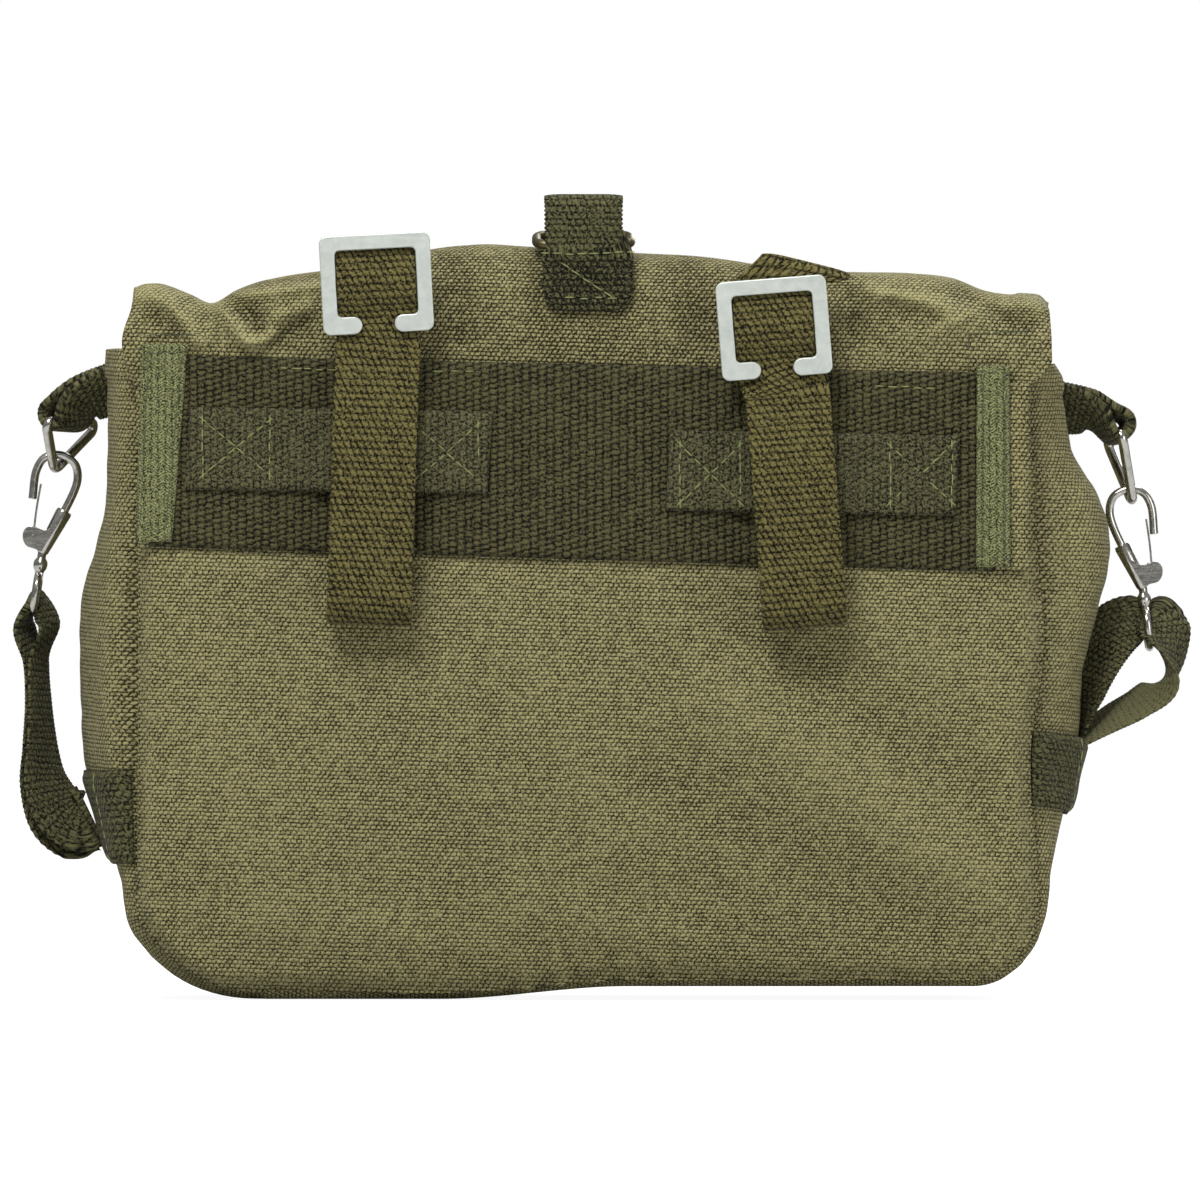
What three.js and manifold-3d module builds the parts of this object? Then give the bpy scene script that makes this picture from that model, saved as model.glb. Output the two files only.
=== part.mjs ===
// A military field bag: a canvas body with a flap, webbing belt straps with metal hooks,
// and a snap clip with a short strap on each side.
// Millimetres, +Z up. The wearer's side (the back) faces -Y. The origin is on the bottom, below the middle.

import * as THREE from 'three';
import { mergeVertices } from 'three/addons/utils/BufferGeometryUtils.js';
import Module from 'manifold-3d';

const wasm = await Module();
wasm.setup();

// Thicknesses and clearances
const CANVAS = 1.6;
const WEBBING = 1.8;
const TAPE = 1.0;
const GAP = 0.35;

// Sides of a round wire's section
const WIRE_SIDES = 6;

// Body
const HALF_DEPTH = 46;
const PANEL_RIM = 1.2;
const CORNER_TALL = 29;
const CORNER_WIDE = { left: 36, right: 28 };
const BACK_SWELL = 8;
const FRONT_SWELL = 5;
const SWELL_ACROSS = { halfWidth: 140, power: 2.2 };
const GUSSET_SPREAD_POWER = 0.75;
const BOTTOM_LIFT = { from: 45, to: 108, height: 3.6 };
const LIFT_FADE = 60;
const PANEL_TOP = 165;
const FRONT_TOP = 176;
const GUSSET_TOP = { left: 193, right: 184 };
const GUSSET_EDGE = HALF_DEPTH - CANVAS - GAP;
const FLAP_END = 66;
const FLAP_WIDTH_TOP = 214;
const FLAP_BACK_MIDDLE = 186;
const FLAP_FRONT_MIDDLE = 120;
const FLAP_FRONT_DROP = 27;

// Half widths of the seam between gusset and panels
const SEAM_ROWS = [
  { height: 0, left: 139.8, right: 135.5 },
  { height: 40, left: 139.8, right: 136.2 },
  { height: 100, left: 139.8, right: 139.8 },
  { height: 165, left: 139.6, right: 139.6 },
  { height: 190, left: 139.2, right: 137.6 },
  { height: 214, left: 138.8, right: 136.8 },
];

// How far the gusset swells past its seam halfway through the depth
const SWELL_ROWS = [
  { height: 0, left: 0, right: 0 },
  { height: 32, left: 0.3, right: 0.2 },
  { height: 41, left: 2.9, right: 1.6 },
  { height: 57, left: 8, right: 4.4 },
  { height: 70, left: 12, right: 6.6 },
  { height: 80, left: 13.1, right: 7.7 },
  { height: 97, left: 13.7, right: 6.7 },
  { height: 113, left: 13.3, right: 9.4 },
  { height: 124, left: 12, right: 11.2 },
  { height: 136, left: 8.6, right: 12.8 },
  { height: 150, left: 6.2, right: 10.4 },
  { height: 164, left: 5.6, right: 3.8 },
  { height: 193, left: 7, right: 1.2 },
];

// Share of the back's and front's full swell at each height
const PILLOW_ROWS = [
  { height: 0, swell: 0 },
  { height: 8, swell: 0.24 },
  { height: 25, swell: 0.62 },
  { height: 60, swell: 0.95 },
  { height: 95, swell: 1 },
  { height: 130, swell: 0.85 },
  { height: 165, swell: 0.6 },
  { height: 195, swell: 0.35 },
  { height: 226, swell: 0.1 },
];

// Height of the flap's top edge across the bag
const CREST_ROWS = [
  { x: -138, height: 213.2 },
  { x: -129.6, height: 213.6 },
  { x: -120.7, height: 210.7 },
  { x: -113.8, height: 208 },
  { x: -108, height: 211.6 },
  { x: -99, height: 214.8 },
  { x: -82, height: 217.6 },
  { x: -46, height: 224.4 },
  { x: -34, height: 225.6 },
  { x: -10, height: 224 },
  { x: 31, height: 221.7 },
  { x: 55, height: 218.6 },
  { x: 82, height: 217.2 },
  { x: 107, height: 215.4 },
  { x: 117, height: 211.4 },
  { x: 136, height: 208.2 },
];

// The flap's section behind the crest: depth, and drop below the crest
const FLAP_TOP_ROWS = [
  { depth: -46.05, drop: 12 },
  { depth: -38.5, drop: 2.6 },
  { depth: -25, drop: 0 },
  { depth: 8, drop: 3 },
  { depth: 36, drop: 9 },
];

// Folds on the back of the flap: a ridge or a crease along a line
const FLAP_FOLDS = [
  { fromX: -134, fromZ: 211, toX: -104, toZ: 196, width: 6, rise: 3.4 },
  { fromX: -114, fromZ: 209, toX: -97, toZ: 195, width: 5, rise: -3.2 },
  { fromX: 82, fromZ: 211, toX: 104, toZ: 207, width: 6, rise: 2.2 },
  { fromX: 108, fromZ: 213, toX: 128, toZ: 198, width: 6, rise: -2.2 },
];
const FOLD_FADE = { from: 194, to: 202 };

// Band across the back, its end tapes and the keepers, each by its four corners
const BAND = { left: -133, right: 119, topLeft: 192.2, topRight: 187, lowLeft: 135, lowRight: 127.6 };
const END_TAPES = {
  left: { topIn: -121.3, topOut: -135, lowIn: -126, lowOut: -137, top: 195.5, low: 136.5 },
  right: { topIn: 113.8, topOut: 123.6, lowIn: 113.4, lowOut: 124, top: 189, low: 129 },
};
const KEEPERS = {
  left: { from: -120.7, to: -30.4, topFrom: 176.7, topTo: 175.4, height: 24.6, slope: -1.6 },
  right: { from: 22.4, to: 108.8, topFrom: 169.8, topTo: 168.2, height: 24, slope: -1.4 },
};
const KEEPER_RAMP = 7;

// Belt straps: closed loops that pass behind the keepers and carry the hooks
const STRAP_WIDTH = 25;
const STRAP_IN_WINDOW = 22.2;
const BELT_GAP = 7;
const STRAP_GAP = 0.55;
const STRAP_TURN = { off: 22, below: 6, above: 5 };
const STRAP_STEPS = 46;
const STRAP_LEVELS = { fold: 120, low: 135, middle: 160, high: 185 };
const STRAP_FOLD_EASE = 0.4;
const STRAP_BULGE = { out: 0.9, edge: 0.1, reach: 6, tuck: 0.8 };
const BELT_STRAPS = {
  left: { x: -67.3, low: 111.6, leanDeg: 1.9, rise: 0, hookX: -64.2, hookZ: 198.6, hookDeg: -3 },
  right: { x: 62.6, low: 110.6, leanDeg: -4.3, rise: 5.9, hookX: 54.4, hookZ: 185.4, hookDeg: -4.5 },
};

// Belt hook: a flat C-shaped frame, open at the bottom, with a bar behind its top for the strap
const HOOK = {
  width: 33, height: 29.5, bar: 4.5, lip: 5.2, mouth: 9.6, plate: 2, radius: 2.4, bevel: 0.4,
  y: -61, crossBar: 1.25, crossBarDown: 3.85, legWidth: 2.4, legInset: 0.5,
};

// Hanger tab and its ring
const TAB = {
  x: -3.4, width: 23, patchLow: 205.4, patchMiddle: 213, patchTop: 221, top: 240.3, rearEnd: 225.4,
};
const TAB_RING = { halfWidth: 14, halfDepth: 4.8, corner: 3, wire: 1.45, z: 227.4, tiltDeg: 18 };

// Side rings: the bar goes through the webbing loop, the apex through the clip
const RING_WIRE = 1.5;
const LOOP_WIDTH = 17;
const RING_BEND = 2.2;
const RING_BEND_STEPS = 4;
const SIDE_LOOPS = {
  left: {
    barFront: [-165, -13, 173.6], barRear: [-149, 12.6, 172.8], apex: [-162.7, -1, 158],
    root: [-149, -2, 182], rootAcross: [0, 0.97, 0.24],
  },
  right: {
    barFront: [157.9, -14.5, 170.2], barRear: [154.3, 12.5, 167.2], apex: [162.1, -1, 147.5],
    root: [145, -2, 177], rootAcross: [0, 0.95, -0.3],
  },
};

// Snap clips, in their own plane: a runs sideways and b down from the top of the bow
const CLIP_WIRE = 1.25;
const CLIP_PLACES = {
  left: { side: -1, x: -162.1, y: -1, z: 163, leanDeg: 8.2 },
  right: { side: 1, x: 161.5, y: -1, z: 152.6, leanDeg: -6.4 },
};
const CLIP_BOW = [
  { a: -1.7, b: -24.5 },
  { a: -4.35, b: -18 },
  { a: -7.4, b: -6.5 },
  { a: -5.6, b: -1.7 },
  { a: -1, b: 0 },
  { a: 3.3, b: -1.5 },
  { a: 5.2, b: -5.5 },
  { a: 5.2, b: -14.3 },
];
const CLIP_SLEEVE = { topA: -4.95, topB: -16.4, lowA: 0.2, lowB: -30, topRadius: 2.5, lowRadius: 1.9 };
const CLIP_CHEEK = { inner: 2.0, outer: 2.7 };
const CLIP_CHEEK_OUTLINE = [
  { a: -4, b: -20 },
  { a: 0.2, b: -23 },
  { a: 3.6, b: -22.4 },
  { a: 5.5, b: -22.9 },
  { a: 6.4, b: -24.3 },
  { a: 6.4, b: -26 },
  { a: 5.7, b: -27.7 },
  { a: 4.5, b: -28.7 },
  { a: 2.6, b: -29 },
  { a: 0.4, b: -29.6 },
];
const CLIP_GATE = { a: 3.3, pivotB: -25.4, topB: -9.4, leaf: 0.55, width: 3.2, barrel: 1.1, pin: 0.55 };
const CLIP_PIN_HOLE = 0.9;
const CLIP_EYE = { top: -36.6, low: -48, halfWidth: 7.6, radius: 4.6, wire: 1.2, postTop: -31.2 };

// Side straps: centre line, width direction and width of a webbing loop between clip and lower tab.
// The webbing is gathered where it goes through the clip's eye.
const SIDE_STRAP_WEBBING = 1.5;
const SIDE_STRAP_STEPS = 44;
const SIDE_STRAPS = {
  left: [
    { at: [-151.3, -8.8, 54.4], across: [-0.27, 0.05, 0.96], width: 20 },
    { at: [-154.6, -9.2, 52], across: [0.12, 0.4, 0.9], width: 20 },
    { at: [-159.6, -8.8, 54.6], across: [0.6, 0.55, 0.55], width: 20 },
    { at: [-163.4, -7, 65], across: [0.75, 0.6, 0.2], width: 20 },
    { at: [-164.4, -5, 77], across: [0.7, 0.7, 0.05], width: 20 },
    { at: [-164.8, -4, 90], across: [0.5, 0.86, 0], width: 16 },
    { at: [-165.2, -3, 103], across: [0.3, 0.95, 0], width: 13 },
    { at: [-165.7, -1, 114], across: [0.08, 1, 0], width: 11.5 },
    { at: [-168.8, -1, 120], across: [0, 1, 0], width: 11.5 },
    { at: [-172, -1, 114], across: [0.08, 1, 0], width: 11.5 },
    { at: [-169.2, -0.4, 103], across: [0.3, 0.95, 0], width: 13 },
    { at: [-167.6, -0.6, 90], across: [0.5, 0.86, 0], width: 16 },
    { at: [-167, -2.2, 77], across: [0.7, 0.7, 0.05], width: 20 },
    { at: [-166, -4.2, 64], across: [0.75, 0.6, 0.2], width: 20 },
    { at: [-162, -5.8, 52.4], across: [0.6, 0.55, 0.55], width: 20 },
    { at: [-157.2, -5.6, 49.4], across: [0.12, 0.4, 0.9], width: 20 },
    { at: [-154.2, -6, 52], across: [-0.27, 0.05, 0.96], width: 20 },
  ],
  right: [
    { at: [147.2, -13.5, 81.4], across: [0.1, 1, 0], width: 20 },
    { at: [149.6, -13, 91], across: [0, 1, 0.04], width: 20 },
    { at: [154.8, -10, 101.5], across: [-0.3, 0.9, 0.3], width: 20 },
    { at: [159.6, -4, 108.4], across: [-0.3, 0.85, 0.45], width: 15 },
    { at: [163.4, -1.6, 110.6], across: [-0.1, 0.98, 0.16], width: 11 },
    { at: [166.2, -1, 110.9], across: [0, 1, 0.04], width: 10.8 },
    { at: [169.2, -1.2, 110.8], across: [0.1, 0.98, 0.16], width: 11 },
    { at: [173, -2.4, 109], across: [0.3, 0.8, 0.5], width: 15 },
    { at: [176.2, -5, 102.6], across: [0.4, 0.87, 0.3], width: 20 },
    { at: [173.4, -8.5, 94], across: [0.1, 0.82, 0.55], width: 20 },
    { at: [165.4, -11.5, 88], across: [-0.1, 0.78, 0.6], width: 20 },
    { at: [157.4, -13, 85], across: [0, 0.9, 0.4], width: 20 },
    { at: [151, -13.6, 83.2], across: [0.08, 1, 0.1], width: 20 },
  ],
};

// Lower tabs: folded webbing sewn on the gusset, from a height and a share of the depth to another
const LOWER_TAB_THICKNESS = 4;
const LOWER_TABS = {
  left: { side: -1, low: 40.5, top: 68.5, fromDepth: 0.02, toDepth: 0.35, slope: 0 },
  right: { side: 1, low: 57, top: 79.5, fromDepth: 0.02, toDepth: 0.44, slope: -2 },
};

// Colours, roughness and metalness
const CANVAS_LOOK = { color: 0x7a7250, roughness: 0.95, metalness: 0 };
const DARK_WEBBING_LOOK = { color: 0x3d3e2c, roughness: 0.95, metalness: 0 };
const OLIVE_WEBBING_LOOK = { color: 0x554d2f, roughness: 0.93, metalness: 0 };
const TAPE_LOOK = { color: 0x6e7850, roughness: 0.95, metalness: 0 };
const HOOK_LOOK = { color: 0xc9ccc8, roughness: 0.45, metalness: 0.85 };
const NICKEL_LOOK = { color: 0xb7b0a0, roughness: 0.22, metalness: 1 };
const BRONZE_LOOK = { color: 0x4a4436, roughness: 0.4, metalness: 0.9 };

const bag = new THREE.Group();

// Small helpers

const radians = THREE.MathUtils.degToRad;
const smooth = THREE.MathUtils.smoothstep;
const lerp = THREE.MathUtils.lerp;
const vec = (list) => new THREE.Vector3(...list);

function range(count, valueAt) {
  return Array.from({ length: count }, (unused, index) => valueAt(index));
}

// Smooth reading of a table's column between its rows
function read(rows, key, column, at) {
  const last = rows.length - 1;
  const place = Math.min(Math.max(at, rows[0][key]), rows[last][key]);
  let index = 0;
  while (index < last - 1 && place > rows[index + 1][key]) index += 1;
  const slopeAt = (row) => {
    const low = Math.max(row - 1, 0);
    const high = Math.min(row + 1, last);
    return (rows[high][column] - rows[low][column]) / (rows[high][key] - rows[low][key]);
  };
  const span = rows[index + 1][key] - rows[index][key];
  const t = (place - rows[index][key]) / span;
  const t2 = t * t;
  const t3 = t2 * t;
  return (2 * t3 - 3 * t2 + 1) * rows[index][column]
    + (t3 - 2 * t2 + t) * span * slopeAt(index)
    + (3 * t2 - 2 * t3) * rows[index + 1][column]
    + (t3 - t2) * span * slopeAt(index + 1);
}

function geometryFrom(points, triangles) {
  const geometry = new THREE.BufferGeometry();
  geometry.setAttribute('position', new THREE.Float32BufferAttribute(points.flatMap((p) => p.toArray()), 3));
  let volume = 0;
  for (const [a, b, c] of triangles) {
    volume += points[a].dot(new THREE.Vector3().crossVectors(points[b], points[c]));
  }
  const outward = volume > 0 ? triangles : triangles.map(([a, b, c]) => [a, c, b]);
  geometry.setIndex(outward.flat());
  geometry.computeVertexNormals();
  return geometry;
}

function addPiece(parent, name, geometry, look) {
  const mesh = new THREE.Mesh(geometry, new THREE.MeshStandardMaterial(look));
  mesh.name = name;
  parent.add(mesh);
  return mesh;
}

// A solid between two grids of points that share rows and columns
function solidBetween(outer, inner) {
  const rows = outer.length;
  const columns = outer[0].length;
  const points = [...outer.flat(), ...inner.flat()];
  const innerStart = rows * columns;
  const out = (row, column) => row * columns + column;
  const within = (row, column) => innerStart + out(row, column);
  const triangles = [];
  const quad = (a, b, c, d) => triangles.push([a, b, c], [a, c, d]);
  for (let row = 0; row < rows - 1; row += 1) {
    for (let column = 0; column < columns - 1; column += 1) {
      quad(out(row, column), out(row, column + 1), out(row + 1, column + 1), out(row + 1, column));
      quad(within(row, column), within(row + 1, column), within(row + 1, column + 1), within(row, column + 1));
    }
  }
  for (let column = 0; column < columns - 1; column += 1) {
    const next = column + 1;
    quad(out(0, next), out(0, column), within(0, column), within(0, next));
    quad(out(rows - 1, column), out(rows - 1, next), within(rows - 1, next), within(rows - 1, column));
  }
  for (let row = 0; row < rows - 1; row += 1) {
    const next = row + 1;
    quad(out(row, 0), out(next, 0), within(next, 0), within(row, 0));
    quad(out(next, columns - 1), out(row, columns - 1), within(row, columns - 1), within(next, columns - 1));
  }
  return geometryFrom(points, triangles);
}

// Unit normals of a grid, pointing away from the middle of the bag
function gridNormals(grid) {
  const middle = new THREE.Vector3(0, 0, 100);
  const pick = (row, column) => grid[Math.min(Math.max(row, 0), grid.length - 1)][
    Math.min(Math.max(column, 0), grid[0].length - 1)];
  return grid.map((line, row) => line.map((point, column) => {
    const along = pick(row, column + 1).clone().sub(pick(row, column - 1));
    const up = pick(row + 1, column).clone().sub(pick(row - 1, column));
    const normal = along.cross(up).normalize();
    const away = point.clone().sub(middle);
    return normal.dot(away) < 0 ? normal.negate() : normal;
  }));
}

// A cloth wall: the grid is its outer face
function clothWall(grid, thickness) {
  const normals = gridNormals(grid);
  const inner = grid.map((line, row) => line.map((point, column) => (
    point.clone().addScaledVector(normals[row][column], -thickness))));
  return solidBetween(grid, inner);
}

// A solid swept through rings of points, closed on itself or capped at both ends
function sweptSolid(rings, closed) {
  const sides = rings[0].length;
  const points = rings.flat();
  const triangles = [];
  const stretches = closed ? rings.length : rings.length - 1;
  for (let ring = 0; ring < stretches; ring += 1) {
    const next = (ring + 1) % rings.length;
    for (let side = 0; side < sides; side += 1) {
      const after = (side + 1) % sides;
      const a = ring * sides + side;
      const b = ring * sides + after;
      const c = next * sides + after;
      const d = next * sides + side;
      triangles.push([a, b, c], [a, c, d]);
    }
  }
  if (!closed) {
    const end = (rings.length - 1) * sides;
    for (let side = 1; side < sides - 1; side += 1) {
      triangles.push([0, side + 1, side], [end, end + side, end + side + 1]);
    }
  }
  return geometryFrom(points, triangles);
}

function tangents(points, closed) {
  const last = points.length - 1;
  return points.map((point, index) => {
    const before = closed ? points[(index + last) % (last + 1)] : points[Math.max(index - 1, 0)];
    const after = closed ? points[(index + 1) % (last + 1)] : points[Math.min(index + 1, last)];
    return after.clone().sub(before).normalize();
  });
}

// A flat band along a path, with its own width direction and width at each point
function ribbon(path, thickness, closed) {
  const directions = tangents(path.map((row) => row.at), closed);
  const rings = path.map((row, index) => {
    const along = directions[index];
    const across = row.across.clone().addScaledVector(along, -row.across.dot(along)).normalize();
    const normal = along.clone().cross(across);
    const corner = (half, offset) => row.at.clone()
      .addScaledVector(across, half * row.width / 2)
      .addScaledVector(normal, offset * thickness / 2);
    return [corner(-1, -1), corner(1, -1), corner(1, 1), corner(-1, 1)];
  });
  return sweptSolid(rings, closed);
}

// Rows of an open path made smooth: place, width direction and width
function smoothPath(rows, steps) {
  const places = new THREE.CatmullRomCurve3(rows.map((row) => vec(row.at)), false, 'centripetal');
  const widths = new THREE.CatmullRomCurve3(rows.map((row) => vec(row.across).setLength(row.width)));
  return range(steps + 1, (index) => {
    const across = widths.getPoint(index / steps);
    return { at: places.getPoint(index / steps), across: across.clone().normalize(), width: across.length() };
  });
}

// A round wire along points that lie roughly in a plane with the given normal
function wire(points, planeNormal, radius, sides, closed) {
  const directions = tangents(points, closed);
  const rings = points.map((point, index) => {
    const along = directions[index];
    const side = planeNormal.clone().addScaledVector(along, -planeNormal.dot(along)).normalize();
    const out = along.clone().cross(side);
    return range(sides, (corner) => {
      const angle = 2 * Math.PI * corner / sides;
      return point.clone()
        .addScaledVector(side, radius * Math.cos(angle))
        .addScaledVector(out, radius * Math.sin(angle));
    });
  });
  return sweptSolid(rings, closed);
}

// Joining and cutting

function toManifold(geometry) {
  const bare = geometry.clone();
  bare.deleteAttribute('normal');
  bare.deleteAttribute('uv');
  const merged = mergeVertices(bare);
  return new wasm.Manifold(new wasm.Mesh({
    numProp: 3,
    vertProperties: Float32Array.from(merged.attributes.position.array),
    triVerts: Uint32Array.from(merged.index.array),
  }));
}

function fromManifold(solid) {
  const mesh = solid.getMesh();
  const geometry = new THREE.BufferGeometry();
  geometry.setAttribute('position', new THREE.Float32BufferAttribute(mesh.vertProperties, 3));
  geometry.setIndex(Array.from(mesh.triVerts));
  geometry.computeVertexNormals();
  return geometry;
}

function joined(geometries, cuts = []) {
  let solid = toManifold(geometries[0]);
  for (const other of geometries.slice(1)) solid = solid.add(toManifold(other));
  for (const cut of cuts) solid = solid.subtract(toManifold(cut));
  return fromManifold(solid);
}

function boxBetween(low, high) {
  const size = high.map((value, index) => value - low[index]);
  const geometry = new THREE.BoxGeometry(...size);
  geometry.translate(...low.map((value, index) => value + size[index] / 2));
  return geometry;
}

// A cylinder along Y, or along X when turned
function rod(radius, length, sides, alongX) {
  const geometry = new THREE.CylinderGeometry(radius, radius, length, sides);
  if (alongX) geometry.rotateZ(Math.PI / 2);
  return geometry;
}

// The canvas body

function bottomLift(x, height) {
  const rise = BOTTOM_LIFT.height * smooth(x, BOTTOM_LIFT.from, BOTTOM_LIFT.to);
  return rise * (1 - smooth(height, 0, LIFT_FADE));
}

// A point of the body's outline seen from the back; the inset draws it inwards
function outlinePoint(sideName, height, inset) {
  const side = sideName === 'left' ? -1 : 1;
  const tall = CORNER_TALL - inset;
  const rise = Math.min(Math.max(height - inset, 0), tall);
  const corner = 1 - Math.sqrt(1 - (1 - rise / tall) ** 2);
  const halfWidth = read(SEAM_ROWS, 'height', sideName, height) - inset;
  const x = side * (halfWidth - (CORNER_WIDE[sideName] - inset) * corner);
  return new THREE.Vector2(x, height + bottomLift(x, height));
}

// Share of the full swell at a place on the back or the front
function pillow(x, z) {
  const across = Math.max(0, 1 - Math.abs(x / SWELL_ACROSS.halfWidth) ** SWELL_ACROSS.power);
  return across * read(PILLOW_ROWS, 'height', 'swell', z);
}

function backDepth(x, z) {
  return -(HALF_DEPTH + BACK_SWELL * pillow(x, z));
}

function frontDepth(x, z) {
  return HALF_DEPTH + FRONT_SWELL * pillow(x, z);
}

// Heights of the rows up a side: close together round the corner, even above it
function sideHeights(top, inset, cornerSteps, wallSteps) {
  const tall = CORNER_TALL - inset;
  const corner = range(cornerSteps, (step) => (
    inset + tall * (1 - Math.cos(step / cornerSteps * Math.PI / 2))));
  const wall = range(wallSteps + 1, (step) => lerp(CORNER_TALL, top, step / wallSteps));
  return [...corner, ...wall];
}

function panelGrid(heights, columns, depthAt) {
  return heights.map((height) => {
    const left = outlinePoint('left', height, PANEL_RIM);
    const right = outlinePoint('right', height, PANEL_RIM);
    return range(columns + 1, (column) => {
      const x = lerp(left.x, right.x, column / columns);
      const z = height + bottomLift(x, height);
      return new THREE.Vector3(x, depthAt(x, z), z);
    });
  });
}

function makePanels() {
  const backHeights = sideHeights(PANEL_TOP, PANEL_RIM, 4, 10);
  const back = panelGrid(backHeights, 20, backDepth);
  addPiece(bag, 'back_panel', clothWall(back, CANVAS), CANVAS_LOOK);
  const frontHeights = sideHeights(FRONT_TOP, PANEL_RIM, 4, 5);
  const front = panelGrid(frontHeights, 10, frontDepth);
  addPiece(bag, 'front_panel', clothWall(front, CANVAS), CANVAS_LOOK);
}

// How the swell spreads over the gusset's depth, from the back seam (0) to the front seam (1)
function gussetSpread(depthShare) {
  return Math.max(0, Math.sin(Math.PI * depthShare)) ** GUSSET_SPREAD_POWER;
}

// A point on the outside of the gusset's side wall
function gussetPoint(sideName, height, depthShare) {
  const seam = outlinePoint(sideName, height, 0);
  const side = sideName === 'left' ? -1 : 1;
  const swell = read(SWELL_ROWS, 'height', sideName, height) * gussetSpread(depthShare);
  return new THREE.Vector3(seam.x + side * swell, lerp(-GUSSET_EDGE, GUSSET_EDGE, depthShare), seam.y);
}

// One strip down the left side, along the bottom and up the right side
function makeGusset() {
  const cornerSteps = 4;
  const wallSteps = 12;
  const bottomSteps = 12;
  const depthSteps = 8;
  const shares = range(depthSteps + 1, (step) => step / depthSteps);
  const leftHeights = sideHeights(GUSSET_TOP.left, 0, cornerSteps, wallSteps);
  const rightHeights = sideHeights(GUSSET_TOP.right, 0, cornerSteps, wallSteps);
  const leftEnd = outlinePoint('left', 0, 0).x;
  const rightEnd = outlinePoint('right', 0, 0).x;
  const leftRows = [...leftHeights].reverse().map((height) => (
    shares.map((share) => gussetPoint('left', height, share))));
  const bottomRows = range(bottomSteps - 1, (step) => {
    const x = lerp(leftEnd, rightEnd, (step + 1) / bottomSteps);
    return shares.map((share) => (
      new THREE.Vector3(x, lerp(-GUSSET_EDGE, GUSSET_EDGE, share), bottomLift(x, 0))));
  });
  const rightRows = rightHeights.map((height) => shares.map((share) => gussetPoint('right', height, share)));
  addPiece(bag, 'gusset', clothWall([...leftRows, ...bottomRows, ...rightRows], CANVAS), CANVAS_LOOK);
}

// The flap

function foldRise(x, z) {
  let total = 0;
  for (const fold of FLAP_FOLDS) {
    const alongX = fold.toX - fold.fromX;
    const alongZ = fold.toZ - fold.fromZ;
    const length = Math.hypot(alongX, alongZ);
    const share = ((x - fold.fromX) * alongX + (z - fold.fromZ) * alongZ) / length ** 2;
    const off = ((x - fold.fromX) * alongZ - (z - fold.fromZ) * alongX) / length;
    const ends = smooth(share, -0.25, 0.15) * (1 - smooth(share, 0.85, 1.25));
    total += fold.rise * ends * Math.exp(-((off / fold.width) ** 2));
  }
  return total * smooth(z, FOLD_FADE.from, FOLD_FADE.to);
}

// The flap's section at a place across the bag, as a smooth line of depth and height
function flapSection(x) {
  const crest = read(CREST_ROWS, 'x', 'height', x);
  const back = (z) => new THREE.Vector3(0, backDepth(x, z), z);
  const front = (z) => new THREE.Vector3(0, frontDepth(x, z) + CANVAS + 2 * GAP, z);
  const top = FLAP_TOP_ROWS.map((row) => new THREE.Vector3(0, row.depth, crest - row.drop));
  const line = [
    back(PANEL_TOP + GAP), back(FLAP_BACK_MIDDLE), ...top,
    front(crest - FLAP_FRONT_DROP), front(FLAP_FRONT_MIDDLE), front(FLAP_END),
  ];
  return new THREE.CatmullRomCurve3(line, false, 'centripetal');
}

function makeFlap() {
  const fineColumns = 8;
  const plainColumns = 17;
  const fineEnd = 0.17;
  const shares = [
    ...range(fineColumns, (column) => fineEnd * column / fineColumns),
    ...range(plainColumns + 1, (column) => lerp(fineEnd, 1, column / plainColumns)),
  ];
  const sectionSteps = 20;
  const halfWidth = (sideName, z) => (
    read(SEAM_ROWS, 'height', sideName, Math.min(z, FLAP_WIDTH_TOP)) - PANEL_RIM);
  const columns = shares.map((share) => {
    const x = lerp(-halfWidth('left', FLAP_WIDTH_TOP), halfWidth('right', FLAP_WIDTH_TOP), share);
    const section = flapSection(x);
    return range(sectionSteps + 1, (step) => {
      const point = section.getPoint(step / sectionSteps);
      point.x = lerp(-halfWidth('left', point.z), halfWidth('right', point.z), share);
      if (point.y < -HALF_DEPTH / 2) point.y -= foldRise(point.x, point.z);
      return point;
    });
  });
  addPiece(bag, 'flap', clothWall(columns, CANVAS), CANVAS_LOOK);
}

// Flat pieces sewn on the back

// A patch over the back between four corners; the stand-off may vary across it
function backPatch(edges, thickness, standOff, columns, rows) {
  const grid = (extra) => range(rows + 1, (row) => range(columns + 1, (column) => {
    const u = column / columns;
    const v = row / rows;
    const { x, z } = edges(u, v);
    return new THREE.Vector3(x, backDepth(x, z) - standOff(x) - extra, z);
  }));
  return solidBetween(grid(thickness), grid(0));
}

const BAND_OUT = GAP + WEBBING;

function makeBand() {
  const edges = (u, v) => ({
    x: lerp(BAND.left, BAND.right, u),
    z: lerp(lerp(BAND.lowLeft, BAND.lowRight, u), lerp(BAND.topLeft, BAND.topRight, u), v),
  });
  addPiece(bag, 'back_band', backPatch(edges, WEBBING, () => GAP, 16, 4), DARK_WEBBING_LOOK);
}

function makeEndTapes() {
  for (const [sideName, tape] of Object.entries(END_TAPES)) {
    const edges = (u, v) => ({
      x: lerp(lerp(tape.lowIn, tape.topIn, v), lerp(tape.lowOut, tape.topOut, v), u),
      z: lerp(tape.low, tape.top, v),
    });
    addPiece(bag, `end_tape_${sideName}`, backPatch(edges, TAPE, () => BAND_OUT + GAP, 2, 6), TAPE_LOOK);
  }
}

const KEEPER_BASE = BAND_OUT + GAP;
const KEEPER_BUMP = WEBBING + 2 * STRAP_GAP - GAP;
const KEEPER_OUT = KEEPER_BASE + KEEPER_BUMP + WEBBING;

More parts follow.
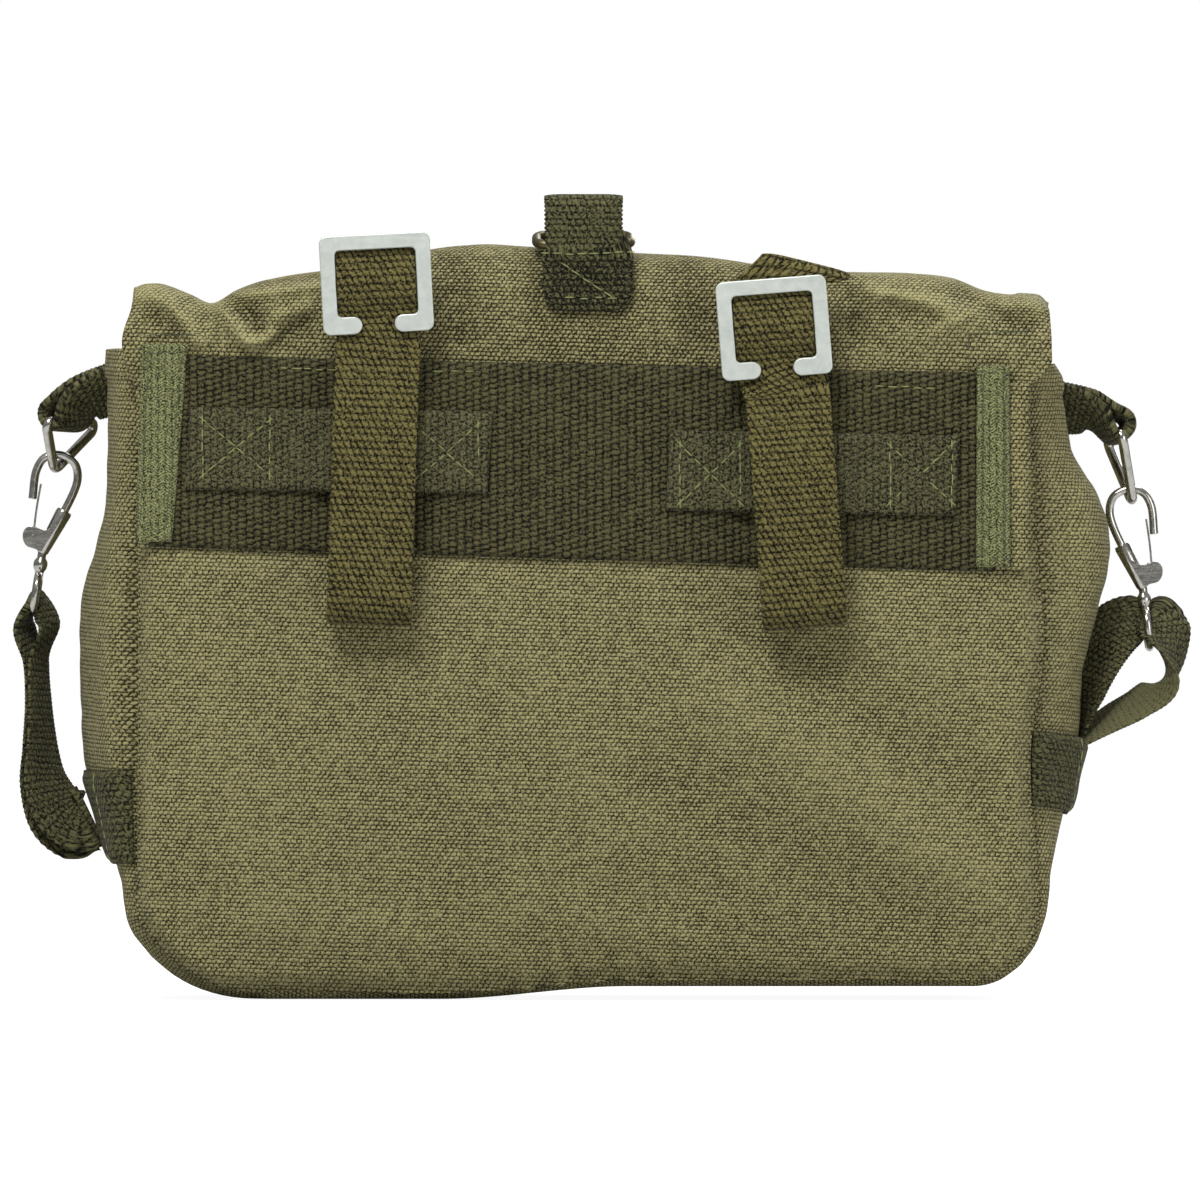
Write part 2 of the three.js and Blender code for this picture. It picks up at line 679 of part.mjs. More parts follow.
// Where a belt strap's middle lies at a height, and how it leans: it turns with the hook near the top, and
// off the bag it no longer follows the back's slope
function strapAxis(strap, z) {
  const byHook = smooth(z, strap.hookZ - STRAP_TURN.below, strap.hookZ + STRAP_TURN.above);
  const lean = radians(strap.leanDeg);
  const tilt = radians(strap.hookDeg);
  const strapX = strap.x + (z - strap.low) * Math.tan(lean);
  const hookX = strap.hookX + (z - strap.hookZ) * Math.tan(tilt);
  return {
    x: lerp(strapX, hookX, byHook),
    lean: lerp(lean, tilt, byHook),
    onBag: 1 - smooth(z, strap.hookZ - STRAP_TURN.off, strap.hookZ),
  };
}

function makeKeepers() {
  for (const [sideName, keeper] of Object.entries(KEEPERS)) {
    const strap = BELT_STRAPS[sideName];
    const centre = strapAxis(strap, keeper.topFrom - keeper.height / 2).x;
    const edges = (u, v) => ({
      x: lerp(keeper.from, keeper.to, u) + keeper.slope * (1 - v),
      z: lerp(keeper.topFrom, keeper.topTo, u) - keeper.height * (1 - v),
    });
    const standOff = (x) => {
      const clear = STRAP_WIDTH / 2 + 2;
      const ramp = 1 - smooth(Math.abs(x - centre), clear, clear + KEEPER_RAMP);
      return KEEPER_BASE + KEEPER_BUMP * ramp;
    };
    addPiece(bag, `keeper_${sideName}`, backPatch(edges, WEBBING, standOff, 16, 2), DARK_WEBBING_LOOK);
  }
}

// Belt straps and hooks

// The loop seen from the side: a row for each turn of the webbing, from the bottom up the rear run
function beltLoopRows(strap) {
  const behindPlate = HOOK.y + HOOK.plate / 2 + GAP + WEBBING / 2;
  const barDepth = HOOK.y + HOOK.plate / 2 + 2 * GAP + WEBBING + HOOK.crossBar;
  const wrap = HOOK.crossBar + 2 * GAP + WEBBING / 2;
  const barZ = strap.hookZ + HOOK.height - HOOK.crossBarDown;
  const topZ = barZ + wrap + strap.rise;
  const rear = (z) => backDepth(strap.x, z) - BAND_OUT - STRAP_GAP - WEBBING / 2;
  const frontRun = (z) => backDepth(strap.x, z) - KEEPER_OUT - BELT_GAP - WEBBING / 2;
  const { fold, low, middle, high } = STRAP_LEVELS;
  const foldZ = strap.low + (rear(fold) - frontRun(fold)) / 2;
  const windowLow = strap.hookZ + HOOK.lip;
  const windowTop = strap.hookZ + HOOK.height - HOOK.bar;
  const bulgeEdge = HOOK.y - STRAP_BULGE.edge;
  const full = STRAP_WIDTH;
  const narrow = STRAP_IN_WINDOW;
  return [
    { y: (rear(fold) + frontRun(fold)) / 2, z: strap.low + WEBBING / 2, width: full },
    { y: rear(fold) - STRAP_FOLD_EASE, z: foldZ, width: full },
    { y: rear(low), z: low, width: full },
    { y: rear(middle), z: middle, width: full },
    { y: rear(high), z: high, width: full },
    { y: barDepth + wrap, z: windowTop - STRAP_BULGE.reach, width: full },
    { y: barDepth + wrap, z: barZ + strap.rise, width: full },
    { y: barDepth, z: topZ, width: full },
    { y: behindPlate, z: lerp(barZ, topZ - wrap, 0.6), width: full },
    { y: behindPlate, z: windowTop - STRAP_BULGE.tuck, width: narrow },
    { y: bulgeEdge, z: windowTop - STRAP_BULGE.reach, width: narrow },
    { y: HOOK.y - STRAP_BULGE.out, z: (windowLow + windowTop) / 2, width: narrow },
    { y: bulgeEdge, z: windowLow + STRAP_BULGE.reach, width: narrow },
    { y: behindPlate, z: windowLow + STRAP_BULGE.tuck, width: narrow },
    { y: behindPlate, z: strap.hookZ - STRAP_BULGE.tuck, width: full },
    { y: frontRun(middle), z: middle, width: full },
    { y: frontRun(low), z: low, width: full },
    { y: frontRun(fold) + STRAP_FOLD_EASE, z: foldZ, width: full },
  ];
}

function makeBeltStraps() {
  for (const [sideName, strap] of Object.entries(BELT_STRAPS)) {
    const rows = beltLoopRows(strap);
    const places = rows.map((row) => new THREE.Vector3(row.width, row.y, row.z));
    const curve = new THREE.CatmullRomCurve3(places, true, 'centripetal');
    const half = STRAP_WIDTH / 2;
    const path = range(STRAP_STEPS, (step) => {
      const point = curve.getPoint(step / STRAP_STEPS);
      const axis = strapAxis(strap, point.z);
      const slope = (backDepth(axis.x + half, point.z) - backDepth(axis.x - half, point.z)) / STRAP_WIDTH;
      return {
        at: new THREE.Vector3(axis.x, point.y, point.z),
        across: new THREE.Vector3(Math.cos(axis.lean), slope * axis.onBag, -Math.sin(axis.lean)),
        width: Math.min(point.x, STRAP_WIDTH),
      };
    });
    addPiece(bag, `belt_strap_${sideName}`, ribbon(path, WEBBING, true), OLIVE_WEBBING_LOOK);
  }
}

// The C-shaped outline, drawn from the right lip round to the left lip and back along the window
function hookOutline() {
  const side = HOOK.width / 2;
  const inner = side - HOOK.bar;
  const gap = HOOK.mouth / 2;
  const top = HOOK.height;
  const round = HOOK.radius;
  const end = HOOK.lip / 2;
  const shape = new THREE.Shape();
  shape.moveTo(gap + end, 0);
  shape.lineTo(side - round, 0);
  shape.quadraticCurveTo(side, 0, side, round);
  shape.lineTo(side, top - round);
  shape.quadraticCurveTo(side, top, side - round, top);
  shape.lineTo(round - side, top);
  shape.quadraticCurveTo(-side, top, -side, top - round);
  shape.lineTo(-side, round);
  shape.quadraticCurveTo(-side, 0, round - side, 0);
  shape.lineTo(-gap - end, 0);
  shape.absarc(-gap - end, end, end, -Math.PI / 2, Math.PI / 2, false);
  shape.lineTo(-inner, HOOK.lip);
  shape.lineTo(-inner, top - HOOK.bar);
  shape.lineTo(inner, top - HOOK.bar);
  shape.lineTo(inner, HOOK.lip);
  shape.lineTo(gap + end, HOOK.lip);
  shape.absarc(gap + end, end, end, Math.PI / 2, 3 * Math.PI / 2, false);
  return shape;
}

function makeBeltHooks() {
  const plate = new THREE.ExtrudeGeometry(hookOutline(), {
    depth: HOOK.plate - 2 * HOOK.bevel, curveSegments: 3, bevelEnabled: true, bevelSegments: 1,
    bevelSize: HOOK.bevel, bevelThickness: HOOK.bevel, bevelOffset: -HOOK.bevel,
  });
  plate.translate(0, 0, HOOK.bevel - HOOK.plate / 2);
  plate.rotateX(Math.PI / 2);
  const barZ = HOOK.height - HOOK.crossBarDown;
  const barY = HOOK.plate / 2 + 2 * GAP + WEBBING + HOOK.crossBar;
  const bar = rod(HOOK.crossBar, HOOK.width - 2 * HOOK.legInset, 8, true);
  bar.translate(0, barY, barZ);
  const legs = [-1, 1].map((side) => {
    const outer = side * (HOOK.width / 2 - HOOK.legInset);
    const inner = outer - side * HOOK.legWidth;
    return boxBetween(
      [Math.min(outer, inner), 0, barZ - HOOK.crossBar],
      [Math.max(outer, inner), barY, barZ + HOOK.crossBar],
    );
  });
  for (const [sideName, strap] of Object.entries(BELT_STRAPS)) {
    const mesh = addPiece(bag, `belt_hook_${sideName}`, joined([plate, bar, ...legs]), HOOK_LOOK);
    mesh.position.set(strap.hookX, HOOK.y, strap.hookZ);
    mesh.rotation.y = radians(strap.hookDeg);
  }
}

// Hanger tab and ring

function makeHangerTab() {
  const face = (z) => backDepth(TAB.x, z) - GAP - WEBBING / 2;
  const foldRadius = TAB_RING.wire + GAP + WEBBING / 2;
  const frontY = face(TAB.patchTop) + 0.6;
  const rearY = frontY + 2 * foldRadius;
  const rows = [
    { y: face(TAB.patchLow), z: TAB.patchLow },
    { y: face(TAB.patchMiddle), z: TAB.patchMiddle },
    { y: frontY, z: TAB.patchTop + 2 },
    { y: frontY, z: TAB_RING.z + 3 },
    { y: frontY + 0.5, z: TAB.top - foldRadius },
    { y: (frontY + rearY) / 2, z: TAB.top - WEBBING / 2 },
    { y: rearY - 0.5, z: TAB.top - foldRadius },
    { y: rearY, z: TAB_RING.z + 3 },
    { y: rearY + 0.4, z: TAB.rearEnd },
  ];
  const path = smoothPath(rows.map((row) => (
    { at: [TAB.x, row.y, row.z], across: [1, 0, 0], width: TAB.width })), 24);
  addPiece(bag, 'hanger_tab', ribbon(path, WEBBING, false), DARK_WEBBING_LOOK);

  const barY = (frontY + rearY) / 2;
  const loop = roundedLoop(TAB_RING.halfWidth, TAB_RING.halfDepth, TAB_RING.corner);
  const tilt = radians(TAB_RING.tiltDeg);
  const points = loop.map(([u, v]) => new THREE.Vector3(
    TAB.x + u,
    barY + (v + TAB_RING.halfDepth) * Math.cos(tilt),
    TAB_RING.z + (v + TAB_RING.halfDepth) * Math.sin(tilt),
  ));
  const plane = new THREE.Vector3(0, -Math.sin(tilt), Math.cos(tilt));
  addPiece(bag, 'tab_ring', wire(points, plane, TAB_RING.wire, WIRE_SIDES, true), BRONZE_LOOK);
}

// A rounded rectangle as a closed list of points
function roundedLoop(halfWidth, halfHeight, corner) {
  const steps = 3;
  const centres = [[1, 1], [-1, 1], [-1, -1], [1, -1]];
  return centres.flatMap(([sideU, sideV], quarter) => range(steps + 1, (step) => {
    const angle = (quarter + step / steps) * Math.PI / 2;
    return [
      sideU * (halfWidth - corner) + corner * Math.cos(angle),
      sideV * (halfHeight - corner) + corner * Math.sin(angle),
    ];
  }));
}

// Side rings and the webbing loops that hold them

// Points round a corner, on a circle that touches both of its arms
function roundBend(from, corner, to, radius, steps) {
  const backwards = from.clone().sub(corner).normalize();
  const onwards = to.clone().sub(corner).normalize();
  const halfAngle = backwards.angleTo(onwards) / 2;
  const start = corner.clone().addScaledVector(backwards, radius / Math.tan(halfAngle));
  const middle = backwards.clone().add(onwards).normalize();
  const centre = corner.clone().addScaledVector(middle, radius / Math.sin(halfAngle));
  const outward = start.sub(centre).normalize();
  return range(steps + 1, (step) => {
    const turn = (Math.PI - 2 * halfAngle) * step / steps;
    return centre.clone()
      .addScaledVector(outward, radius * Math.cos(turn))
      .addScaledVector(backwards, -radius * Math.sin(turn));
  });
}

function makeSideRings() {
  for (const [sideName, place] of Object.entries(SIDE_LOOPS)) {
    const front = vec(place.barFront);
    const rear = vec(place.barRear);
    const apex = vec(place.apex);
    const corners = [front, rear, apex];
    const points = corners.flatMap((corner, index) => roundBend(
      corners[(index + 2) % 3], corner, corners[(index + 1) % 3], RING_BEND, RING_BEND_STEPS,
    ));
    const plane = rear.clone().sub(front).cross(apex.clone().sub(front)).normalize();
    addPiece(bag, `side_ring_${sideName}`, wire(points, plane, RING_WIRE, WIRE_SIDES, true), NICKEL_LOOK);
  }
}

// Webbing folded round the ring's bar, both layers sewn to the gusset at the root
function makeSideLoops() {
  for (const [sideName, place] of Object.entries(SIDE_LOOPS)) {
    const front = vec(place.barFront);
    const rear = vec(place.barRear);
    const bar = front.clone().lerp(rear, 0.5);
    const barAcross = rear.clone().sub(front).normalize();
    const root = vec(place.root);
    const inward = root.clone().sub(bar);
    inward.addScaledVector(barAcross, -inward.dot(barAcross)).normalize();
    const up = inward.clone().cross(barAcross).normalize();
    if (up.z < 0) up.negate();
    const wrap = RING_WIRE + 2 * GAP + WEBBING / 2;
    const layer = WEBBING / 2 + GAP / 2;
    const nearBar = (angleDeg) => ({
      at: bar.clone()
        .addScaledVector(inward, -wrap * Math.cos(radians(angleDeg)))
        .addScaledVector(up, wrap * Math.sin(radians(angleDeg))).toArray(),
      across: barAcross.toArray(),
      width: LOOP_WIDTH,
    });
    const atRoot = (offset) => ({
      at: root.clone().addScaledVector(up, offset).toArray(),
      across: place.rootAcross,
      width: LOOP_WIDTH,
    });
    const rows = [
      atRoot(layer),
      nearBar(90),
      nearBar(45),
      nearBar(0),
      nearBar(-45),
      nearBar(-90),
      atRoot(-layer),
    ];
    const path = smoothPath(rows, 24);
    addPiece(bag, `side_loop_${sideName}`, ribbon(path, WEBBING, false), DARK_WEBBING_LOOK);
  }
}

// Snap clips

// A sheet cheek of the clip, between two depths
function clipCheek(side, low, high) {
  const shape = new THREE.Shape(CLIP_CHEEK_OUTLINE.map((row) => new THREE.Vector2(side * row.a, row.b)));
  const geometry = new THREE.ExtrudeGeometry(shape, { depth: high - low, bevelEnabled: false });
  geometry.translate(0, 0, low);
  geometry.rotateX(Math.PI / 2);
  return geometry;
}

function clipSleeve(side) {
  const top = new THREE.Vector3(side * CLIP_SLEEVE.topA, 0, CLIP_SLEEVE.topB);
  const low = new THREE.Vector3(side * CLIP_SLEEVE.lowA, 0, CLIP_SLEEVE.lowB);
  const geometry = new THREE.CylinderGeometry(
    CLIP_SLEEVE.topRadius, CLIP_SLEEVE.lowRadius, top.distanceTo(low), 10,
  );
  const turn = new THREE.Quaternion().setFromUnitVectors(
    new THREE.Vector3(0, 1, 0), top.clone().sub(low).normalize(),
  );
  geometry.applyQuaternion(turn);
  geometry.translate(...top.clone().lerp(low, 0.5).toArray());
  return geometry;
}

function clipBow(side, radius, sides) {
  const line = CLIP_BOW.map((row) => new THREE.Vector3(side * row.a, 0, row.b));
  const curve = new THREE.CatmullRomCurve3(line, false, 'centripetal');
  return wire(curve.getPoints(22), new THREE.Vector3(0, 1, 0), radius, sides, false);
}

function clipEye() {
  const middle = (CLIP_EYE.top + CLIP_EYE.low) / 2;
  const halfHeight = (CLIP_EYE.top - CLIP_EYE.low) / 2;
  const points = roundedLoop(CLIP_EYE.halfWidth, halfHeight, CLIP_EYE.radius)
    .map(([u, v]) => new THREE.Vector3(0, u, middle + v));
  const loop = wire(points, new THREE.Vector3(1, 0, 0), CLIP_EYE.wire, WIRE_SIDES, true);
  const post = rod(CLIP_EYE.wire, CLIP_EYE.postTop - CLIP_EYE.top, 8, false);
  post.rotateX(Math.PI / 2);
  post.translate(0, 0, (CLIP_EYE.postTop + CLIP_EYE.top) / 2);
  return joined([loop, post]);
}

function clipGate(side) {
  const a = side * CLIP_GATE.a;
  const half = CLIP_GATE.width / 2;
  const leaf = boxBetween(
    [a - CLIP_GATE.leaf / 2, -half, CLIP_GATE.pivotB],
    [a + CLIP_GATE.leaf / 2, half, CLIP_GATE.topB],
  );
  const barrel = rod(CLIP_GATE.barrel, CLIP_GATE.width, 10, false);
  const pin = rod(CLIP_GATE.pin, 2 * CLIP_CHEEK.outer, 8, false);
  for (const piece of [barrel, pin]) piece.translate(a, 0, CLIP_GATE.pivotB);
  return joined([leaf, barrel, pin]);
}

function makeClips() {
  for (const [sideName, place] of Object.entries(CLIP_PLACES)) {
    const clip = new THREE.Group();
    clip.position.set(place.x, place.y, place.z);
    clip.rotation.y = radians(place.leanDeg);
    bag.add(clip);
    const hole = rod(CLIP_PIN_HOLE, 8, 10, false);
    hole.translate(place.side * CLIP_GATE.a, 0, CLIP_GATE.pivotB);
    const body = joined(
      [
        clipSleeve(place.side),
        clipCheek(place.side, CLIP_CHEEK.inner, CLIP_CHEEK.outer),
        clipCheek(place.side, -CLIP_CHEEK.outer, -CLIP_CHEEK.inner),
      ],
      [clipBow(place.side, CLIP_WIRE + GAP, 10), hole],
    );
    addPiece(clip, `clip_sleeve_${sideName}`, body, NICKEL_LOOK);
    addPiece(clip, `clip_hook_${sideName}`, clipBow(place.side, CLIP_WIRE, WIRE_SIDES), NICKEL_LOOK);
    addPiece(clip, `clip_gate_${sideName}`, clipGate(place.side), NICKEL_LOOK);
    addPiece(clip, `clip_eye_${sideName}`, clipEye(), NICKEL_LOOK);
  }
}

// Side straps and lower tabs

function makeSideStraps() {
  for (const [sideName, rows] of Object.entries(SIDE_STRAPS)) {
    const path = smoothPath(rows, SIDE_STRAP_STEPS);
    addPiece(bag, `side_strap_${sideName}`, ribbon(path, SIDE_STRAP_WEBBING, false), DARK_WEBBING_LOOK);
  }
}

function makeLowerTabs() {
  const rows = 4;
  const columns = 5;
  for (const [sideName, tab] of Object.entries(LOWER_TABS)) {
    const base = range(rows + 1, (row) => range(columns + 1, (column) => {
      const share = lerp(tab.fromDepth, tab.toDepth, column / columns);
      const height = lerp(tab.low, tab.top, row / rows) + tab.slope * column / columns;
      return gussetPoint(sideName, height, share);
    }));
    const normals = gridNormals(base);
    const lifted = (distance) => base.map((line, row) => line.map((point, column) => (
      point.clone().addScaledVector(normals[row][column], distance))));
    const geometry = solidBetween(lifted(GAP + LOWER_TAB_THICKNESS), lifted(GAP));
    addPiece(bag, `lower_tab_${sideName}`, geometry, DARK_WEBBING_LOOK);
  }
}

makePanels();
makeGusset();
makeFlap();
makeBand();
makeEndTapes();
makeKeepers();
makeBeltStraps();
makeBeltHooks();
makeHangerTab();
makeSideRings();
makeSideLoops();
makeClips();
makeSideStraps();
makeLowerTabs();

export default bag;
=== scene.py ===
"""A military field bag of canvas and webbing, with belt hooks and snap clips."""

import math

import bmesh
import bpy
import numpy as np
from bpy.props import FloatProperty, FloatVectorProperty, IntProperty, PointerProperty
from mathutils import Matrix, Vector


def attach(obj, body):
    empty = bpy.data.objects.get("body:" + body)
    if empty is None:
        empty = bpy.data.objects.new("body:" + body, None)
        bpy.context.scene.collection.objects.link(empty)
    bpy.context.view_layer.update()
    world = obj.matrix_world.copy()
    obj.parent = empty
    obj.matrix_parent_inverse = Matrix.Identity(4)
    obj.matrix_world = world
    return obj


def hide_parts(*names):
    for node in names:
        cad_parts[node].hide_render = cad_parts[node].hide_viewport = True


bl_info = {
    "name": "Military Field Bag",
    "version": (1, 0, 0),
    "blender": (4, 5, 0),
    "location": "View3D > Sidebar > Field Bag",
    "description": "Dresses the frame of a canvas field bag with cloth, webbing, metal and stitches",
    "category": "Object",
}

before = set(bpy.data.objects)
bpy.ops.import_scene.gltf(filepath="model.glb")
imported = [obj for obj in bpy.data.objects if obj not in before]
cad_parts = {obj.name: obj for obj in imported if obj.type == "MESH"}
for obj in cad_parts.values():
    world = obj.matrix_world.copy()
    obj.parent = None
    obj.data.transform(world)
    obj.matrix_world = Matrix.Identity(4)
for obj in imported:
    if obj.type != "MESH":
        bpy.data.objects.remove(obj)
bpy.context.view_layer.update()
MM = 0.001
BAG = "bag"
SIDES = ("left", "right")
SIGN = {"left": -1, "right": 1}
COLUMN = {"left": 1, "right": 2}
X_AXIS = np.array([1.0, 0.0, 0.0])
Y_AXIS = np.array([0.0, 1.0, 0.0])

# Body of the bag, in millimetres
CANVAS = 1.6
WEBBING = 1.8
TAPE = 1.0
GAP = 0.35
HALF_DEPTH = 46.0
PANEL_RIM = 1.2
PANEL_ROLL = 2.0
PANEL_BEHIND_FLAP = 192.0
CORNER_TALL = 29.0
CORNER_WIDE = {"left": 38.0, "right": 22.0}
BACK_SWELL = 8.0
FRONT_SWELL = 5.0
SWELL_HALF_WIDTH = 140.0
SWELL_POWER = 2.2
GUSSET_SPREAD_POWER = 0.75
BAG_MIDDLE = np.array([0.0, 0.0, 100.0])
LIFT_FROM, LIFT_TO, LIFT_HEIGHT, LIFT_FADE = -46.0, 10.0, 3.8, 60.0
PANEL_TOP = 165.0
FRONT_TOP = 176.0
GUSSET_TOP = {"left": 194.4, "right": 189.5}
GUSSET_EDGE = HALF_DEPTH - CANVAS - GAP
FLAP_END = 66.0
FLAP_WIDTH_TOP = 214.0
FLAP_BACK_MIDDLE = 186.0
FLAP_FRONT_MIDDLE = 120.0
FLAP_FRONT_DROP = 27.0
FLAP_CORNER = {"low": 180.0, "top": 191.0, "left": 1.5, "right": 8.6, "flare": 3.2, "flare_z": 196.0}
FLAP_LAP = {"inner": 119.5, "outer": 129.8, "low": 128.2, "top": 184.0}

# Half widths of the seam: height, left, right
SEAM_ROWS = (
    (0, 139.6, 135.2), (40, 139.8, 135.4), (100, 139.8, 139.8),
    (165, 139.6, 139.6), (190, 139.2, 137.6), (214, 138.8, 136.8),
)
# How far the gusset swells past its seam: height, left, right
SWELL_ROWS = (
    (0, 0, 0), (32, 1.4, 0.2), (41, 4.1, 1.6), (57, 9.6, 4.4), (70, 13.6, 6.6), (80, 14.8, 7.7),
    (97, 15.4, 7), (113, 14.9, 10.3), (124, 13.5, 13.2), (136, 10.2, 15), (150, 7.8, 11.7), (164, 7.1, 4.2),
    (180, 7.1, 2.4), (186, 7.2, 1.2), (190, 7.2, -1.4), (195, 7.2, -2),
)
# How far the seam's valley lies inside the outline: height, left, right
VALLEY_ROWS = (
    (0, 3, 2), (5, 5, 2), (12, 5, 2.1), (22, 3.2, 2.2), (30, 2.4, 2.2), (45, 2.4, 4), (60, 2.6, 6.5),
    (77, 2.6, 8), (95, 2.6, 6.5), (110, 2.6, 6), (133, 2.6, 8), (165, 3.4, 8), (193, 4, 7),
)
SEAM_DEPTH = 6.6
SEAM_REACH = 3.2
SEAM_ROLL = {"under": 2.5, "per_valley": 2.8, "least": 1.5, "power": 1.6}
SEAM_PULL = {"share": 0.7, "most": 5.0}
SLOPE_STEP = 0.05
# Share of the full swell of back and front: height, share
PILLOW_ROWS = (
    (0, 0), (8, 0.24), (25, 0.62), (60, 0.95), (95, 1), (130, 0.85), (165, 0.6), (195, 0.35), (226, 0.1),
)
# Height of the flap's top edge: place across, height
CREST_ROWS = (
    (-138, 213.4), (-129.6, 213.8), (-120.7, 210.8), (-113.8, 208.2), (-108, 211.9), (-99, 215),
    (-82, 217.8), (-46, 224.6), (-34, 225.8), (-10, 224.2), (31, 221.8), (55, 218.9), (82, 217.4),
    (107, 215.5), (117, 212), (128, 211), (136, 210.2),
)
# The flap's section over the top: depth, drop below the crest
FLAP_TOP_ROWS = ((-46.05, 12), (-38.5, 2.6), (-25, 0), (8, 3), (36, 9))
# Rows of the flap's net against its length, closest where the folds lie
FLAP_STEPS = ((0, 0), (0.12, 0.075), (0.56, 0.25), (1, 1))

# Folds: width, rise out of the cloth, and the line they follow in x and z
FLAP_FOLDS = (
    (3.2, 2.6, (-137.4, 210.4), (-131.7, 210.1), (-126.7, 207.1), (-121.9, 201.4), (-119, 196)),
    (4.0, -1.6, (-131, 203.5), (-124, 199)),
    (2.6, 3.2, (-113.5, 208), (-109.4, 203.8), (-104.9, 197.3), (-103.1, 195.2)),
    (2.3, 2.2, (-103.1, 195.2), (-99.6, 195.6), (-95.7, 198.5)),
    (3.6, -2.6, (-109, 207), (-103, 204), (-100, 200)),
    (2.2, 2.0, (-106.1, 210.2), (-93.6, 211.2), (-82, 212.8), (-74, 213)),
    (1.8, -1.3, (-106, 212.4), (-94, 214.2), (-82, 216)),
    (3.2, 1.8, (-86, 206.2), (-94.8, 203.5), (-99.2, 198.2)),
    (4.2, -1.4, (-86, 202), (-93, 197)),
    (5.0, -1.3, (-44, 220), (-41, 206), (-40, 197)),
    (8.0, 0.9, (-30, 219), (-24, 200)),
    (6.0, -0.7, (-15, 214), (-17, 200)),
    (6.0, 0.8, (14, 215), (22, 196)),
    (6.0, -1.0, (28, 217), (33, 196)),
    (5.0, 0.7, (38, 214), (42, 200)),
    (5.5, -1.4, (72, 216), (78, 204), (80, 192)),
    (3.4, 2.4, (83.4, 210.7), (96.8, 208.6), (104, 206)),
    (3.2, -1.5, (88, 206.5), (102, 202.5)),
    (4.0, 1.8, (102, 200), (109, 203), (117.4, 207.7)),
    (4.0, -2.0, (110, 211), (119, 205), (128, 201)),
    (2.6, 1.2, (123, 207), (133, 206.5)),
)
PANEL_FOLDS = (
    (10, 2.6, (36, 90), (78, 62), (121, 30)),
    (9, -1.8, (20, 66), (96, 22)),
    (8, -1.6, (52, 104), (124, 58)),
    (12, 1.4, (-128, 120), (-96, 30)),
    (9, 1.2, (-96, 24), (-30, 14)),
    (9, 1.6, (72, 124), (104, 96)),
    (7, -1.2, (30, 120), (64, 100)),
    (9, 1.4, (-24, 30), (30, 12)),
    (8, -1.0, (-70, 90), (-40, 40)),
    (10, 1.0, (-20, 100), (4, 50)),
    (6, 1.3, (118, 100), (126, 60)),
)

# Small shapes of the canvas walls
SETTLE = 16.0
# The puckers are painted lighter where they rise and darker where they sink, as painted light and shade set
# by the last share
PUCKER = {
    "rise": 0.6, "pitch": 10.5, "slant": 0.3, "reach": 7.0, "start": (-34, -20), "end": (28, 44),
    "wear": 0.45,
}
SHALLOW_SEAM = {"share": 0.6, "across": (-85, -55), "up": (12, 30)}
UNDER_FLAP = {"depth": 2.3, "start": 9.0, "end": 1.0}
# Painted light and shade on the back wall: folds lighter on their ridges and darker in their hollows, a
# painted highlight on the seam's roll and painted shade in the seam's valley
WALL_LIGHT_AND_SHADE = {
    "fold": 12.0, "ridge": 0.25, "ridge_at": 3.6, "ridge_width": 1.8, "painted_shade": 0.25, "painted_shade_width": 1.5,
}
FRONT_MOST_OUT = 0.2
GUSSET_CRUSH = {"rise": 0.6, "pitch": 8.5, "reach": 8.0, "fade": (26, 44)}
GUSSET_OFF_GROUND = (3, 14)
GUSSET_EDGE_FADE = (3, 14)
GUSSET_HEM = {"rise": 0.9, "fade": (9.5, 8.0)}
# The gusset is painted lighter from a little above the ground up, with painted shade in the seam's valley
# along both edges
GUSSET_SHADE_AND_TONE = {"painted_tone": 0.16, "painted_shade": 0.7, "painted_shade_width": 4.2, "up": (6, 20)}
# Unevenness of each cloth: rise, size of the bumps, seed
BACK_UNEVEN = ((0.32, 46, 3), (0.16, 14, 5))
FRONT_UNEVEN = ((0.4, 52, 8),)
GUSSET_UNEVEN = ((0.7, 40, 12), (0.25, 13, 14))
FLAP_UNEVEN = ((0.5, 44, 21), (0.2, 15, 23))
LAP_UNEVEN = ((0.25, 18, 55),)
TAB_UNEVEN = ((0.25, 12, 41),)
PATCH_BUMPS, PATCH_SEED = 26, 31
RIPPLE = {"waves": 9, "pitch": (0.7, 1.7), "height": 4.0}
# Small shapes of the flap
# Folds paint the flap lighter on their ridges and darker in their hollows, as painted light and shade set by
# the last number
FLAP_FOLD = {"gain": 1.8, "power": 1.4, "up": (191.5, 197), "wear": 7.0}
FLAP_END_DROP = {"left": 0.9, "right": 2.2, "reach": 1.8}
FLAP_FLARE_REACH = 9.0
FLAP_BACK, FLAP_FRONT, FLAP_ABOVE_BAND = (-36, -20), (30, 44), (168, 196)
FLAP_DRAPE = {"rise": 1.6, "shift": 18.0, "pitch": 96.0, "height": 60.0, "least": -0.1}
FLAP_HEM = {"rise": 0.8, "fade": (13.5, 11.5)}
FLAP_SIDE_HEM = {"rise": 0.6, "fade": (10.5, 8.5), "over": (-30, -10)}
# Painted light and shade on the flap: a painted highlight towards the crest and painted shade across the
# middle of its back
FLAP_LIGHT_AND_SHADE = {"crest": 0.2, "crest_reach": 5.0, "painted_shade": 0.4, "painted_shade_width": 66.0}
LAP_ROLL = {"edge": 0.9, "edge_width": 1.2, "groove": 0.5, "groove_at": 2.6, "groove_width": 1.6}
# Steps of the nets
CORNER_STEPS = 18
BACK_STEPS, FRONT_STEPS, GUSSET_STEPS, BOTTOM_STEPS = 100, 70, 90, 72
GUSSET_COLUMNS = 61
FLAP_ROWS = 170
LAP_STEPS = (13, 49)
CROWD = {"wall": 0.65, "gusset": 0.6, "flap": 0.3}
FINE_STEPS = {"flap": 700, "strap": 900, "hanger": 400}

